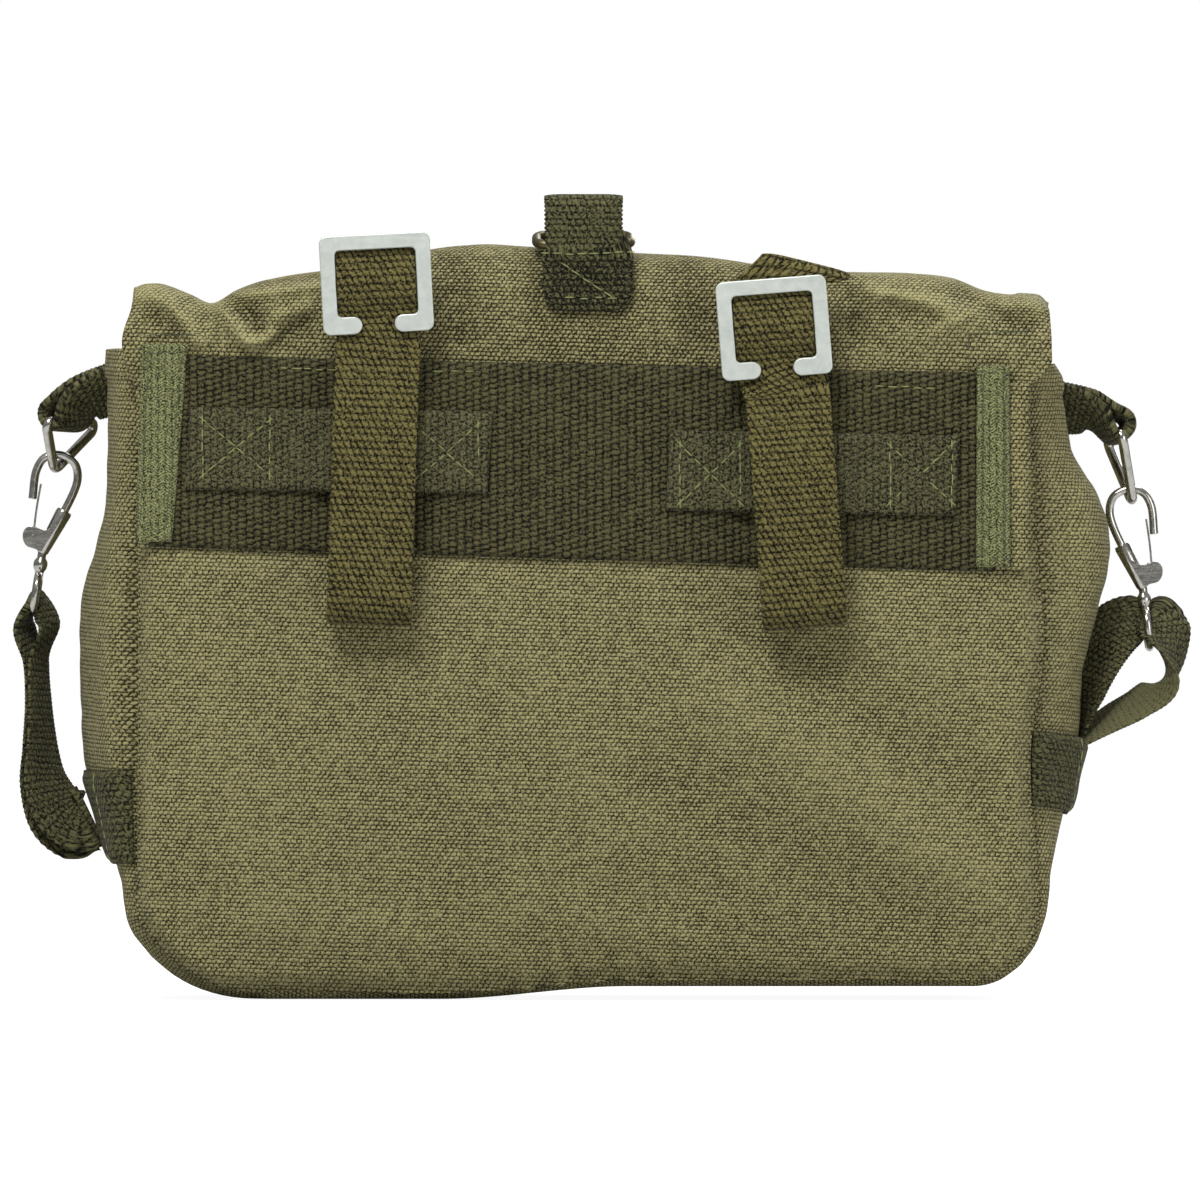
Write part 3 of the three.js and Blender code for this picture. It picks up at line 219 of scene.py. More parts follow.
# Band, end tapes and keepers on the back
BAND = {"left": -133, "right": 119, "top_left": 192.2, "top_right": 187, "low_left": 135, "low_right": 127.6}
END_TAPES = {
    "left": {"top_in": -121.3, "top_out": -135, "low_in": -126, "low_out": -137, "top": 195.5, "low": 136.5},
    "right": {"top_in": 113.8, "top_out": 123.6, "low_in": 113.4, "low_out": 124, "top": 189, "low": 129},
}
KEEPERS = {
    "left": {
        "start": -120.7, "end": -30.4, "top_start": 176.7, "top_end": 175.4, "height": 24.6, "slope": -1.6,
    },
    "right": {
        "start": 22.4, "end": 108.8, "top_start": 169.8, "top_end": 168.2, "height": 24, "slope": -1.4,
    },
}
KEEPER_RAMP = 7.0
KEEPER_CLEAR = 2.0
PATCH_RIM = {"share": 0.45, "width": 0.7}
BAND_OUT = GAP + WEBBING
STRAP_GAP = 0.55
KEEPER_BASE = BAND_OUT + GAP
KEEPER_BUMP = WEBBING + 2 * STRAP_GAP - GAP
KEEPER_OUT = KEEPER_BASE + KEEPER_BUMP + WEBBING

# Belt straps and hooks
STRAP_WIDTH = 25.0
STRAP_IN_WINDOW = 23.4
BELT_GAP = 7.0
STRAP_TURN = {"off": 22.0, "below": 6.0, "above": 5.0}
STRAP_TOP_FOLD = {"start": 26.0, "end": 34.5, "shift": 11.5, "tilt": 18.0}
STRAP_LEVELS = {"fold": 120.0, "low": 135.0, "middle": 160.0, "high": 185.0}
STRAP_FOLD_EASE = 0.4
STRAP_BEHIND_HOOK = 0.6
STRAP_STEPS = 520
WEBBING_EDGE = {"thinner": 0.55, "power": 7, "scallop_pitch": 1.3}
SCALLOP_SHARE = {"belt": 0.6, "loop": 0.6, "side": 0.5}
STRAP_BULGE = {"out": 0.9, "edge": 0.1, "reach": 6.0, "tuck": 0.8}
BELT_STRAPS = {
    "left": {
        "x": -67.3, "low": 111.6, "lean": 1.9, "rise": 0, "hook_x": -64.2, "hook_z": 198.6, "tilt": -3,
    },
    "right": {
        "x": 62.6, "low": 110.6, "lean": -4.3, "rise": 5.2, "hook_x": 54.4, "hook_z": 185.4, "tilt": -4.5,
    },
}
HOOK = {
    "width": 33.0, "height": 29.5, "bar": 4.5, "lip": 5.2, "mouth": 9.6, "plate": 2.0, "radius": 2.4,
    "y": -61.0, "cross_bar": 1.25, "cross_bar_down": 3.85, "leg_width": 2.4, "leg_inset": 0.5,
    "window_radius": 1.4, "bevel": 0.45, "leg_start": 0.2,
}
HOOK_STEPS = {"corner": 6, "lip": 10, "window": 4}
BEVEL = {"segments": 3, "angle": 35.0}

# Hanger tab and its ring
TAB = {
    "x": -3.4, "width": 23.0, "low": 205.4, "middle": 213.0, "sewn": 221.0, "top": 240.3, "rear_end": 225.4,
    "wider": 4.0, "shift": 1.2, "corner": 6.5, "set_back": 0.6, "past_sewn": 2.0, "over_ring": 3.0,
    "bow": 0.5, "rear_bow": 0.4, "step": (0.5, 3.0), "steps": 170,
}
# The hanger is painted darker below its sewn line
TAB_DARKENED = {"wear": -0.65, "below": 1.0, "above": 2.0}
TAB_RING = {
    "half_width": 14.0, "half_depth": 4.8, "corner": 3.0, "wire": 1.45, "z": 227.4, "tilt": 18.0, "hang": 2.2,
}

# Side rings and their loops
RING_WIRE = 1.5
RING_BEND = 2.2
RING_BEND_STEPS = 10
RING_SIDES = 18
LOOP_WIDTH = 17.0
LOOP_SPREAD = 1.9
LOOP_PINCH = 6.5
LOOP_BULK = 2.0
LOOP_TWIST = 0.45
LOOP_STEPS = 150
SIDE_LOOPS = {
    "left": {
        "bar_front": (-165, -13, 173.6), "bar_rear": (-149, 12.6, 172.8), "apex": (-162.7, -1, 158),
        "hold": 0.36, "rise": 1.8, "arch": 1.0, "root": (-140, -5, 184.2), "root_across": (0.15, 0.3, -0.94),
    },
    "right": {
        "bar_front": (157.9, -14.5, 170.2), "bar_rear": (154.3, 12.5, 167.2), "apex": (162.1, -1, 147.5),
        "hold": 0.36, "rise": 2.6, "arch": 1.6, "root": (138, -5, 177.2), "root_across": (0.1, 0.3, -0.94),
    },
}

# Snap clips in their own plane: sideways, and down from the top of the bow
CLIP_WIRE = 1.25
CLIP_PLACES = {
    "left": {"x": -162.1, "y": -1, "z": 163, "lean": 8.2},
    "right": {"x": 161.5, "y": -1, "z": 152.6, "lean": -6.4},
}
CLIP_BOW = (
    (-1.7, -24.5), (-4.35, -18), (-7.4, -6.5), (-5.6, -1.7), (-1, 0), (3.3, -1.5), (5.2, -5.5), (5.2, -14.3),
)
CLIP_BOW_STEPS = 90
CLIP_SLEEVE = {
    "top": (-4.95, -16.4), "low": (0.2, -30.0), "top_radius": 2.5, "low_radius": 1.9,
    "shares": (0, 0.06, 0.5, 0.94, 1), "end": 0.3,
}
CLIP_CHEEK = {"inner": 2.0, "outer": 2.7, "steps": 40}
CLIP_CHEEK_OUTLINE = (
    (-4, -20), (0.2, -23), (3.6, -22.4), (5.5, -22.9), (6.4, -24.3), (6.4, -26), (5.7, -27.7), (4.5, -28.7),
    (2.6, -29), (0.4, -29.6),
)
CLIP_GATE = {
    "a": 3.3, "pivot": -25.4, "top": -9.4, "leaf": 0.55, "width": 3.2, "barrel": 1.1, "pin": 0.55,
    "bow": 0.25, "steps": 9, "pin_end": 0.25,
}
CLIP_EYE = {
    "top": -36.6, "low": -48.0, "half_width": 7.6, "radius": 4.6, "wire": 1.2, "neck_top": -29.4,
    "neck": (1.3, 1.3, 1.3, 2.0, 2.15, 2.0, 1.4, 1.3),
}
CLIP_BEVEL = {"clip_hook": 0.35, "clip_sleeve": 0.12, "clip_gate": 0.1, "clip_eye": 0}

# Side straps: x, y, z, width direction x, y, z, width
SIDE_STRAP_WEBBING = 1.5
SIDE_STRAPS = {
    "left": (
        (-151.3, -8.8, 54.4, -0.27, 0.05, 0.96, 20),
        (-154.6, -9.2, 52.9, 0.12, 0.4, 0.9, 20),
        (-160, -8.8, 55.6, 0.55, 0.6, 0.58, 20),
        (-164.7, -7, 64.5, 0.6, 0.76, 0.2, 19),
        (-166, -5.5, 74, 0.46, 0.86, 0.05, 18),
        (-166.8, -4.5, 88, 0.4, 0.9, 0, 15),
        (-167.2, -3.5, 101, 0.4, 0.88, 0.15, 13),
        (-164.6, -1.8, 112, 0.35, 0.8, 0.45, 12.5),
        (-168.5, -1, 119.8, 0.1, 0.92, 0.38, 11.5),
        (-171.8, -0.3, 112.5, 0.35, 0.8, 0.45, 12.5),
        (-169, 0.6, 101, 0.4, 0.88, 0.15, 13),
        (-168, 0, 88, 0.4, 0.9, 0, 15),
        (-167.4, -1.6, 74, 0.46, 0.86, 0.05, 18),
        (-166.2, -3.2, 63.2, 0.6, 0.76, 0.2, 19),
        (-161.6, -5, 53.2, 0.55, 0.6, 0.58, 20),
        (-156.6, -5.4, 50.4, 0.12, 0.4, 0.9, 20),
        (-154.2, -6, 52, -0.27, 0.05, 0.96, 20),
    ),
    "right": (
        (144, -6, 78, -0.1, 0.8, 0.6, 20),
        (146.2, -7, 91.4, -0.45, 0.6, 0.66, 18.5),
        (151.2, -6, 102.8, -0.45, 0.55, 0.7, 18.5),
        (157.6, -3.6, 111.4, -0.3, 0.5, 0.81, 18),
        (163, -1.8, 114, -0.05, 0.62, 0.78, 15.5),
        (166.2, -1, 112, 0, 0.8, 0.6, 11),
        (169, -1.5, 114, 0.1, 0.62, 0.78, 15.5),
        (171, -3, 110.4, 0.4, 0.62, 0.67, 19),
        (172.6, -6, 101.4, 0.3, 0.9, 0.3, 20),
        (170.6, -9, 93.8, 0, 0.86, 0.5, 20),
        (163.4, -10.5, 88.2, -0.12, 0.9, 0.42, 20),
        (155.6, -10.5, 84, -0.1, 0.92, 0.38, 20),
        (149.4, -10, 80.4, -0.1, 0.95, 0.3, 20),
        (145, -9, 77.6, -0.1, 0.97, 0.2, 20),
    ),
}
SIDE_STRAP_BULK = {"left": 116.0, "right": 111.0, "reach": 7.0, "extra": 0.9}
# Painted light on the last part of the right strap, its lower run, where it faces up
SIDE_STRAP_PAINTED_LIGHT = {"left": 0.0, "right": 1.2, "along": (0.62, 0.7)}
SIDE_STRAP_STEPS = 620
LOWER_TAB = {
    "thickness": 2.6, "sunk": 0.4, "wide": 34.0, "tall": 26.0, "rim_drop": 1.4, "rim_width": 1.4,
    "steps": (41, 31),
}
LOWER_TABS = {
    "left": {"low": 40.5, "top": 68.5, "near": 0.02, "far": 0.35, "slope": 0.0},
    "right": {"low": 57.0, "top": 79.5, "near": 0.02, "far": 0.41, "slope": -2.0},
}

# Sewn lines, in pixels of the photograph: across, and down
PIXEL = 0.298
MIDDLE_PIXEL, GROUND_PIXEL = 595, 1000
KEEPER_BOXES = {
    "left": ((203, 475, 270, 420), (415, 480, 478, 425)),
    "right": ((680, 503, 740, 445), (890, 503, 952, 445)),
}
BAND_LINES = (((284, 368), (332, 370)), ((438, 371), (470, 372)), ((880, 386), (930, 388)))
TAB_LINES = (((545, 253), (589, 254), (631, 252)), ((570, 298), (612, 298)), ((566, 266), (608, 294)))
FLAP_LINES = (((148, 336), (205, 333), (212, 352)), ((968, 366), (970, 334), (1032, 330), (1030, 360)))
TAPE_LINES = (
    ((150, 352), (182, 352)), ((146, 530), (170, 533)),
    ((148, 360), (140, 525)), ((182, 360), (166, 525)),
    ((982, 372), (1006, 373)), ((982, 556), (1006, 558)),
    ((983, 378), (982, 550)), ((1005, 378), (1005, 552)),
)
# The sewn line of a lower tab: its column in the net, rows left out at each end, and its lift
LOWER_TAB_LINE = {"left": 18, "right": 22, "ends": 2, "out": 0.1, "back": 0.15}
STITCH_STEPS = {"keeper": 14, "band": 8, "tab": 10, "flap": 12, "tape": 12}
STITCH_LIFT = {"keeper": 0.1, "band": 0.1, "tab": 0.2, "flap": 0.3, "tape": 0.15}
DARK_PITCH = 0.8

# Finishes: lengths in metres, the rest as shares
CLOTHS = {
    "canvas": {
        "name": "canvas_cloth", "weave": {"Slant": 0.04, "Lean": -0.25},
        "depth": 0.0003, "nap": 0.0, "fibre": 3.2, "patch": 0.08, "streak": 0.16, "grain": 1900.0,
    },
    "band": {
        "name": "ribbed_band", "weave": {
            "Across": 0.00242, "Along": 0.00175, "Shift": 0.0, "Step": 0.5, "Slant": 0.12, "Lean": -0.3,
        },
        "depth": 0.0005, "nap": 0.1, "fibre": 3.9, "patch": 0.25, "streak": 0.1, "grain": 1500.0,
    },
    "strap": {
        "name": "belt_webbing", "weave": {"Across": 0.002, "Along": 0.0021, "Lean": -0.7},
        "depth": 0.0004, "nap": 0.1, "fibre": 3.9, "patch": 0.35, "streak": 0.1, "grain": 1500.0,
    },
    "nap": {
        "name": "napped_webbing",
        "weave": {"Across": 0.00212, "Along": 0.00206, "Shift": 0.0, "Step": 0.5, "Lean": -0.2},
        "depth": 0.00045, "nap": 0.45, "fibre": 4.8, "patch": 0.4, "streak": 0.1, "grain": 1500.0,
    },
    "dark": {
        "name": "dark_webbing", "weave": {"Across": 0.002, "Along": 0.00185, "Lean": 0.3},
        "depth": 0.00045, "nap": 0.3, "fibre": 4.4, "patch": 0.4, "streak": 0.1, "grain": 1500.0,
    },
    "tape": {
        "name": "herringbone_tape",
        "weave": {"Across": 0.0021, "Along": 0.0009, "Shift": 0.0, "Slant": 1.6, "Chevron": 1.0},
        "depth": 0.0003, "nap": 0.42, "fibre": 4.4, "patch": 0.2, "streak": 0.1, "grain": 1700.0,
    },
}
METALS = {
    "hook": {"name": "zinc_hook", "rough": (0.34, 0.55), "spots": 300.0, "stain": 0.14, "metallic": 0.45},
    "nickel": {"name": "nickel_wire", "rough": (0.1, 0.26), "spots": 420.0, "stain": 0.35, "metallic": 1.0},
    "bronze": {"name": "bronze_wire", "rough": (0.32, 0.5), "spots": 420.0, "stain": 0.4, "metallic": 1.0},
}
THREADS = {"thread": "sewing_thread", "thread_dark": "dark_thread"}
# The last share sets how strongly the mesh's painted light, shade and tone lighten or darken the cloth
CLOTH_SHADE = {"height": 1.05, "nap": 0.48, "thread": 0.36, "thread_under_nap": 0.5, "wear": 0.5}
CLOTH_RELIEF = {"fibre": 0.35, "nap": 0.6}
CLOTH_ROUGH = {"least": 0.8, "fibre": 0.16}

# Stage: camera, sky and lamps in metres, floor in millimetres
VIEW = {"width": 0.3576, "x": 0.0015, "z": 0.1192, "plane": -0.05, "distance": 5.0, "sensor": 36.0}
FLOOR = {"radius": 9000.0, "z": -0.4, "sides": 96, "grey": 0.66, "rough": 0.9, "glow": 1.55, "seen": 0.6}
SKY = {"From Min": -0.3, "From Max": 1.0, "To Min": 0.12, "To Max": 0.48}
WHITE = (1, 1, 1, 1)
LAMP_AIM = (0, 0, 0.11)
LAMPS = {
    "key": {"at": (-0.45, -1.4, 1.65), "size": 0.8, "power": 38},
    "fill": {"at": (1.7, -1.7, 0.5), "size": 1.4, "power": 13},
    "top": {"at": (0.3, 0.3, 1.8), "size": 1.0, "power": 15},
    "front": {"at": (0.7, 1.9, 1.0), "size": 1.2, "power": 22},
}


def srgb(red, green, blue):
    """A colour as the eye names it, 0 to 255, made linear."""
    def linear(value):
        share = value / 255
        return share / 12.92 if share <= 0.04045 else ((share + 0.055) / 1.055) ** 2.4
    return (linear(red), linear(green), linear(blue))


def shade(label, words, value):
    """A colour that a user would change."""
    return FloatVectorProperty(
        name=label, description=words, subtype="COLOR", size=3, min=0, max=1, default=srgb(*value))


class BagSizes(bpy.types.PropertyGroup):
    """Sizes that a user would change"""

    weave_across: FloatProperty(
        name="Canvas thread across", description="Width of one thread crossing in the canvas",
        default=0.00159, unit="LENGTH", precision=5)
    weave_along: FloatProperty(
        name="Canvas thread along", description="Height of one thread crossing in the canvas",
        default=0.00122, unit="LENGTH", precision=5)
    stitch_pitch: FloatProperty(
        name="Stitch pitch", description="Distance from one stitch to the next",
        default=0.0034, unit="LENGTH", precision=5)
    stitch_radius: FloatProperty(
        name="Thread radius", description="Radius of the sewing thread",
        default=0.00021, unit="LENGTH", precision=5)
    scallop: FloatProperty(
        name="Selvedge scallop", description="How far the strap edges wave in and out",
        default=0.00028, unit="LENGTH", precision=5)
    cloth_step: IntProperty(
        name="Cloth steps", description="Steps across the wide cloth pieces", default=236, min=40, max=240)


class BagColours(bpy.types.PropertyGroup):
    """Colours that a user would change"""

    canvas_light: shade("Canvas, raised threads", "Colour of the raised canvas threads", (152, 146, 103))
    canvas_dark: shade("Canvas, gaps", "Colour between the canvas threads", (34, 30, 14))
    band_light: shade("Band, raised threads", "Colour of the raised band threads", (86, 82, 54))
    band_dark: shade("Band, gaps", "Colour between the band threads", (10, 10, 6))
    strap_light: shade("Strap, raised threads", "Colour of the raised belt strap threads", (108, 101, 60))
    strap_dark: shade("Strap, gaps", "Colour between the belt strap threads", (12, 10, 4))
    nap_light: shade("Nap, fibre tips", "Colour of the napped webbing's fibre tips", (95, 92, 64))
    nap_dark: shade("Nap, ground", "Colour of the napped webbing's ground", (16, 16, 9))
    dark_light: shade(
        "Dark webbing, raised threads", "Colour of the dark webbing's raised threads", (94, 92, 62))
    dark_dark: shade("Dark webbing, gaps", "Colour between the dark webbing's threads", (12, 12, 6))
    tape_light: shade("Tape, raised threads", "Colour of the raised tape threads", (138, 141, 97))
    tape_dark: shade("Tape, gaps", "Colour between the tape threads", (30, 33, 18))
    thread: shade("Thread", "Colour of the light sewing thread", (140, 146, 82))
    thread_dark: shade("Dark thread", "Colour of the dark sewing thread", (66, 78, 44))
    hook: shade("Hook metal", "Colour of the belt hooks", (197, 203, 196))
    nickel: shade("Nickel", "Colour of the clips and side rings", (198, 196, 188))
    bronze: shade("Bronze", "Colour of the hanger's ring", (112, 104, 78))


# Smooth lines, tables and folds

def smoothstep(value, low, high):
    share = np.clip((value - low) / (high - low), 0, 1)
    return share * share * (3 - 2 * share)


def mix(low, high, share):
    return low + (high - low) * share


def bell(distance, width):
    """1 in the middle, fading out past the width."""
    return np.exp(-((distance / width) ** 2))


def read(rows, at, column=1):
    """A table's column, read smoothly between its rows."""
    table = np.asarray(rows, float)
    keys = table[:, 0]
    values = table[:, column]
    at = np.clip(at, keys[0], keys[-1])
    last = len(keys) - 1
    before = np.maximum(np.arange(last + 1) - 1, 0)
    after = np.minimum(np.arange(last + 1) + 1, last)
    slopes = (values[after] - values[before]) / (keys[after] - keys[before])
    index = np.clip(np.searchsorted(keys, at) - 1, 0, last - 1)
    span = keys[index + 1] - keys[index]
    t = (at - keys[index]) / span
    return ((2 * t**3 - 3 * t**2 + 1) * values[index] + (t**3 - 2 * t**2 + t) * span * slopes[index]
            + (3 * t**2 - 2 * t**3) * values[index + 1] + (t**3 - t**2) * span * slopes[index + 1])


def smooth_line(points, count, closed=False):
    """A smooth line through the given points, numbered evenly between them."""
    points = np.asarray(points, float)
    total = len(points)
    stretches = total if closed else total - 1
    at = np.linspace(0, stretches, count, endpoint=not closed)
    index = np.minimum(at.astype(int), stretches - 1)
    weight = (at - index)[:, None]
    if closed:
        around = [points[(index + step) % total] for step in (-1, 0, 1, 2)]
    else:
        padded = np.vstack([2 * points[0] - points[1], points, 2 * points[-1] - points[-2]])
        around = [padded[index + 1 + step] for step in (-1, 0, 1, 2)]
    p0, p1, p2, p3 = around
    d0, d1, d2 = (
        np.maximum(np.sum((b - a) ** 2, axis=1), 1e-12)[:, None] ** 0.25
        for a, b in ((p0, p1), (p1, p2), (p2, p3)))
    leave = ((p1 - p0) / d0 - (p2 - p0) / (d0 + d1) + (p2 - p1) / d1) * d1
    arrive = ((p2 - p1) / d1 - (p3 - p1) / (d1 + d2) + (p3 - p2) / d2) * d1
    return (p1 + leave * weight + (3 * p2 - 3 * p1 - 2 * leave - arrive) * weight**2
            + (2 * p1 - 2 * p2 + leave + arrive) * weight**3)


def lengths(points):
    """Distance along a line at each of its points."""
    steps = np.linalg.norm(np.diff(points, axis=0), axis=1)
    return np.concatenate([[0], np.cumsum(steps)])


def evenly(columns, travelled, count):
    """Columns of numbers resampled so that the distance travelled grows evenly."""
    goal = np.linspace(0, travelled[-1], count)
    return np.stack([np.interp(goal, travelled, column) for column in columns.T], axis=1)


def unit(vectors):
    return vectors / np.maximum(np.linalg.norm(vectors, axis=-1, keepdims=True), 1e-12)


def fold_rise(folds, x, z, power=2.0):
    """How far a list of folds lifts the cloth."""
    total = np.zeros(np.broadcast(x, z).shape)
    for width, rise, *line in folds:
        nearest = np.full(total.shape, np.inf)
        for (from_x, from_z), (to_x, to_z) in zip(line[:-1], line[1:]):
            along_x, along_z = to_x - from_x, to_z - from_z
            share = ((x - from_x) * along_x + (z - from_z) * along_z) / (along_x**2 + along_z**2)
            share = np.clip(share, 0, 1)
            away = np.hypot(x - from_x - share * along_x, z - from_z - share * along_z)
            nearest = np.minimum(nearest, away)
        total = total + rise * np.exp(-((nearest / width) ** power))
    return total


def crowded(count, gain):
    """Shares from 0 to 1 that lie closer together at both ends."""
    even = np.linspace(0, 1, count)
    return even - gain * np.sin(2 * math.pi * even) / (2 * math.pi)


def ripple(u, v, size, seed):
    """Gentle unevenness of cloth, about -1 to 1, with bumps of the given size."""
    rng = np.random.default_rng(seed)
    total = np.zeros(np.broadcast(u, v).shape)
    for turn in rng.uniform(0, 2 * math.pi, RIPPLE["waves"]):
        pitch = size * rng.uniform(*RIPPLE["pitch"])
        phase = rng.uniform(0, 2 * math.pi)
        total = total + np.sin(2 * math.pi * (u * math.cos(turn) + v * math.sin(turn)) / pitch + phase)
    return total / RIPPLE["height"]


def unevenness(rows, u, v):
    """Bumps of several sizes on one cloth."""
    return sum(rise * ripple(u, v, size, seed) for rise, size, seed in rows)


# The bag's body as functions of place

def bottom_lift(x, height):
    return LIFT_HEIGHT * smoothstep(x, LIFT_FROM, LIFT_TO) * (1 - smoothstep(height, 0, LIFT_FADE))


def outline(side, height, inset):
    """The edge of the back at a height, drawn in by an inset."""
    tall = CORNER_TALL - inset
    rise = np.clip(height - inset, 0, tall)
    corner = 1 - np.sqrt(np.maximum(0, 1 - (1 - rise / tall) ** 2))
    half = read(SEAM_ROWS, height, COLUMN[side]) - inset
    x = SIGN[side] * (half - (CORNER_WIDE[side] - inset) * corner)
    return x, height + bottom_lift(x, height)


def pillow(x, z):
    """Share of the full swell at a place."""
    across = np.maximum(0, 1 - np.abs(x / SWELL_HALF_WIDTH) ** SWELL_POWER)
    return across * read(PILLOW_ROWS, z)


def back_depth(x, z):
    return -(HALF_DEPTH + BACK_SWELL * pillow(x, z))


def front_depth(x, z):
    return HALF_DEPTH + FRONT_SWELL * pillow(x, z)


def side_heights(top, inset, wall_steps):
    """Heights up one side, closer together round the bottom corner."""
    tall = CORNER_TALL - inset
    turn = np.arange(CORNER_STEPS) / CORNER_STEPS * math.pi / 2
    wall = mix(CORNER_TALL, top, np.arange(wall_steps + 1) / wall_steps)
    return np.concatenate([inset + tall * (1 - np.cos(turn)), wall])


def seam_roll(valley, share):
    """How far the gusset's edge rolls in under the walls."""
    edge = np.minimum(share, 1 - share) * 2 * GUSSET_EDGE
    reach = SEAM_ROLL["per_valley"] * valley + SEAM_ROLL["least"]
    return (valley + SEAM_ROLL["under"]) * np.clip(1 - edge / reach, 0, 1) ** SEAM_ROLL["power"]


def seam_pull(roll, share):
    """How far the rolled edge is drawn back from the walls."""
    return np.where(share < 0.5, 1, -1) * SEAM_PULL["share"] * np.minimum(roll, SEAM_PULL["most"])


def gusset_point(side, height, share):
    """A place on the gusset: its height up one side, and its share from back to front."""
    seam_x, seam_z = outline(side, height, 0)
    above_x, above_z = outline(side, height + SLOPE_STEP, 0)
    below_x, below_z = outline(side, np.maximum(height - SLOPE_STEP, 0), 0)
    steep = np.hypot(above_x - below_x, above_z - below_z)
    inward_x = -SIGN[side] * (above_z - below_z) / steep
    inward_z = SIGN[side] * (above_x - below_x) / steep
    spread = np.maximum(0, np.sin(math.pi * share)) ** GUSSET_SPREAD_POWER
    roll = seam_roll(read(VALLEY_ROWS, height, COLUMN[side]), share)
    x = seam_x + SIGN[side] * read(SWELL_ROWS, height, COLUMN[side]) * spread + inward_x * roll
    y = mix(-GUSSET_EDGE, GUSSET_EDGE, share) + seam_pull(roll, share)
    return np.stack(np.broadcast_arrays(x, y, seam_z + inward_z * roll), axis=-1)


# Meshes

def new_mesh(name, points, faces, corner_uv=None, wear=None):
    """A mesh from millimetres, with a UV map in metres that follows the cloth, and its painted light, shade
    and tone.
    """
    mesh = bpy.data.meshes.new(name)
    mesh.from_pydata((np.asarray(points) * MM).tolist(), [], faces)
    if corner_uv is not None:
        layer = mesh.uv_layers.new(name="UVMap")
        layer.data.foreach_set("uv", (np.asarray(corner_uv, np.float32) * MM).ravel())
    # Painted light, shade and tone go on each point
    if wear is not None:
        painted_shading = mesh.attributes.new("wear", "FLOAT", "POINT")
        painted_shading.data.foreach_set("value", np.asarray(wear, np.float32).ravel())
    mesh.polygons.foreach_set("use_smooth", [True] * len(mesh.polygons))
    mesh.update()
    return mesh


def added(name, data):
    """A new object in the scene."""
    piece = bpy.data.objects.new(name, data)
    bpy.context.scene.collection.objects.link(piece)
    return piece


def show(mesh, material, nodes=(), body=BAG):
    """An object for a finished mesh, riding on its body."""
    piece = added(mesh.name, mesh)
    mesh.materials.clear()
    mesh.materials.append(material)
    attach(piece, body)
    if nodes:
        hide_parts(*nodes)
    return piece


def recalculated(mesh):
    """Turns a closed mesh's faces outwards."""
    work = bmesh.new()
    work.from_mesh(mesh)
    bmesh.ops.recalc_face_normals(work, faces=work.faces)
    work.to_mesh(mesh)
    work.free()
    mesh.update()
    return mesh


def outward_normals(grid):
    """Directions out of a cloth, away from the bag's middle."""
    along = np.gradient(grid, axis=1)
    up = np.gradient(grid, axis=0)
    normals = unit(np.cross(along, up))
    return -normals if np.sum(normals * (grid - BAG_MIDDLE)) < 0 else normals


def sheet_piece(name, grid, uv, material, thickness, nodes, wear=None):
    """A sheet of cloth: the grid is its outer face, and the wall is given inwards."""
    rows, columns = grid.shape[:2]
    inner = grid - outward_normals(grid) * thickness
    points = np.concatenate([grid.reshape(-1, 3), inner.reshape(-1, 3)])
    index = np.arange(rows * columns).reshape(rows, columns)
    quads = np.stack([index[:-1, :-1], index[:-1, 1:], index[1:, 1:], index[1:, :-1]], axis=-1).reshape(-1, 4)
    flat_uv = uv.reshape(-1, 2)
    faces = [quads, quads[:, ::-1] + rows * columns]
    corner_uv = [flat_uv[quads.reshape(-1)], flat_uv[quads[:, ::-1].reshape(-1)]]
    for border, within in ((index[0], index[1]), (index[-1], index[-2]),
                           (index[:, 0], index[:, 1]), (index[:, -1], index[:, -2])):
        rim_uv = flat_uv[border] + thickness * unit(flat_uv[border] - flat_uv[within])
        under = border + rows * columns
        faces.append(np.stack([border[:-1], border[1:], under[1:], under[:-1]], axis=-1))
        around = [flat_uv[border[:-1]], flat_uv[border[1:]], rim_uv[1:], rim_uv[:-1]]
        corner_uv.append(np.stack(around, axis=1).reshape(-1, 2))
    if wear is not None:
        wear = np.concatenate([wear.ravel(), wear.ravel()])
    mesh = new_mesh(name, points, np.concatenate(faces).tolist(), np.concatenate(corner_uv), wear)
    return show(recalculated(mesh), material, nodes, BAG)


def canvas_sheet(name, grid, u, v, material, nodes, wear=None):
    """A canvas sheet whose threads follow u and v."""
    return sheet_piece(name, grid, np.stack([u, v], axis=-1), material, CANVAS, nodes, wear)


def ring_faces(count, sides, closed):
    """Faces of a skin over rings of points, with its two ends where it isn't closed."""
    faces = []
    for ring in range(count if closed else count - 1):
        start, after = ring * sides, (ring + 1) % count * sides
        for side in range(sides):
            turn = (side + 1) % sides
            faces.append((start + side, start + turn, after + turn, after + side))
    if not closed:
        faces += [tuple(ring * sides + side for side in range(sides)) for ring in (0, count - 1)]
    return faces


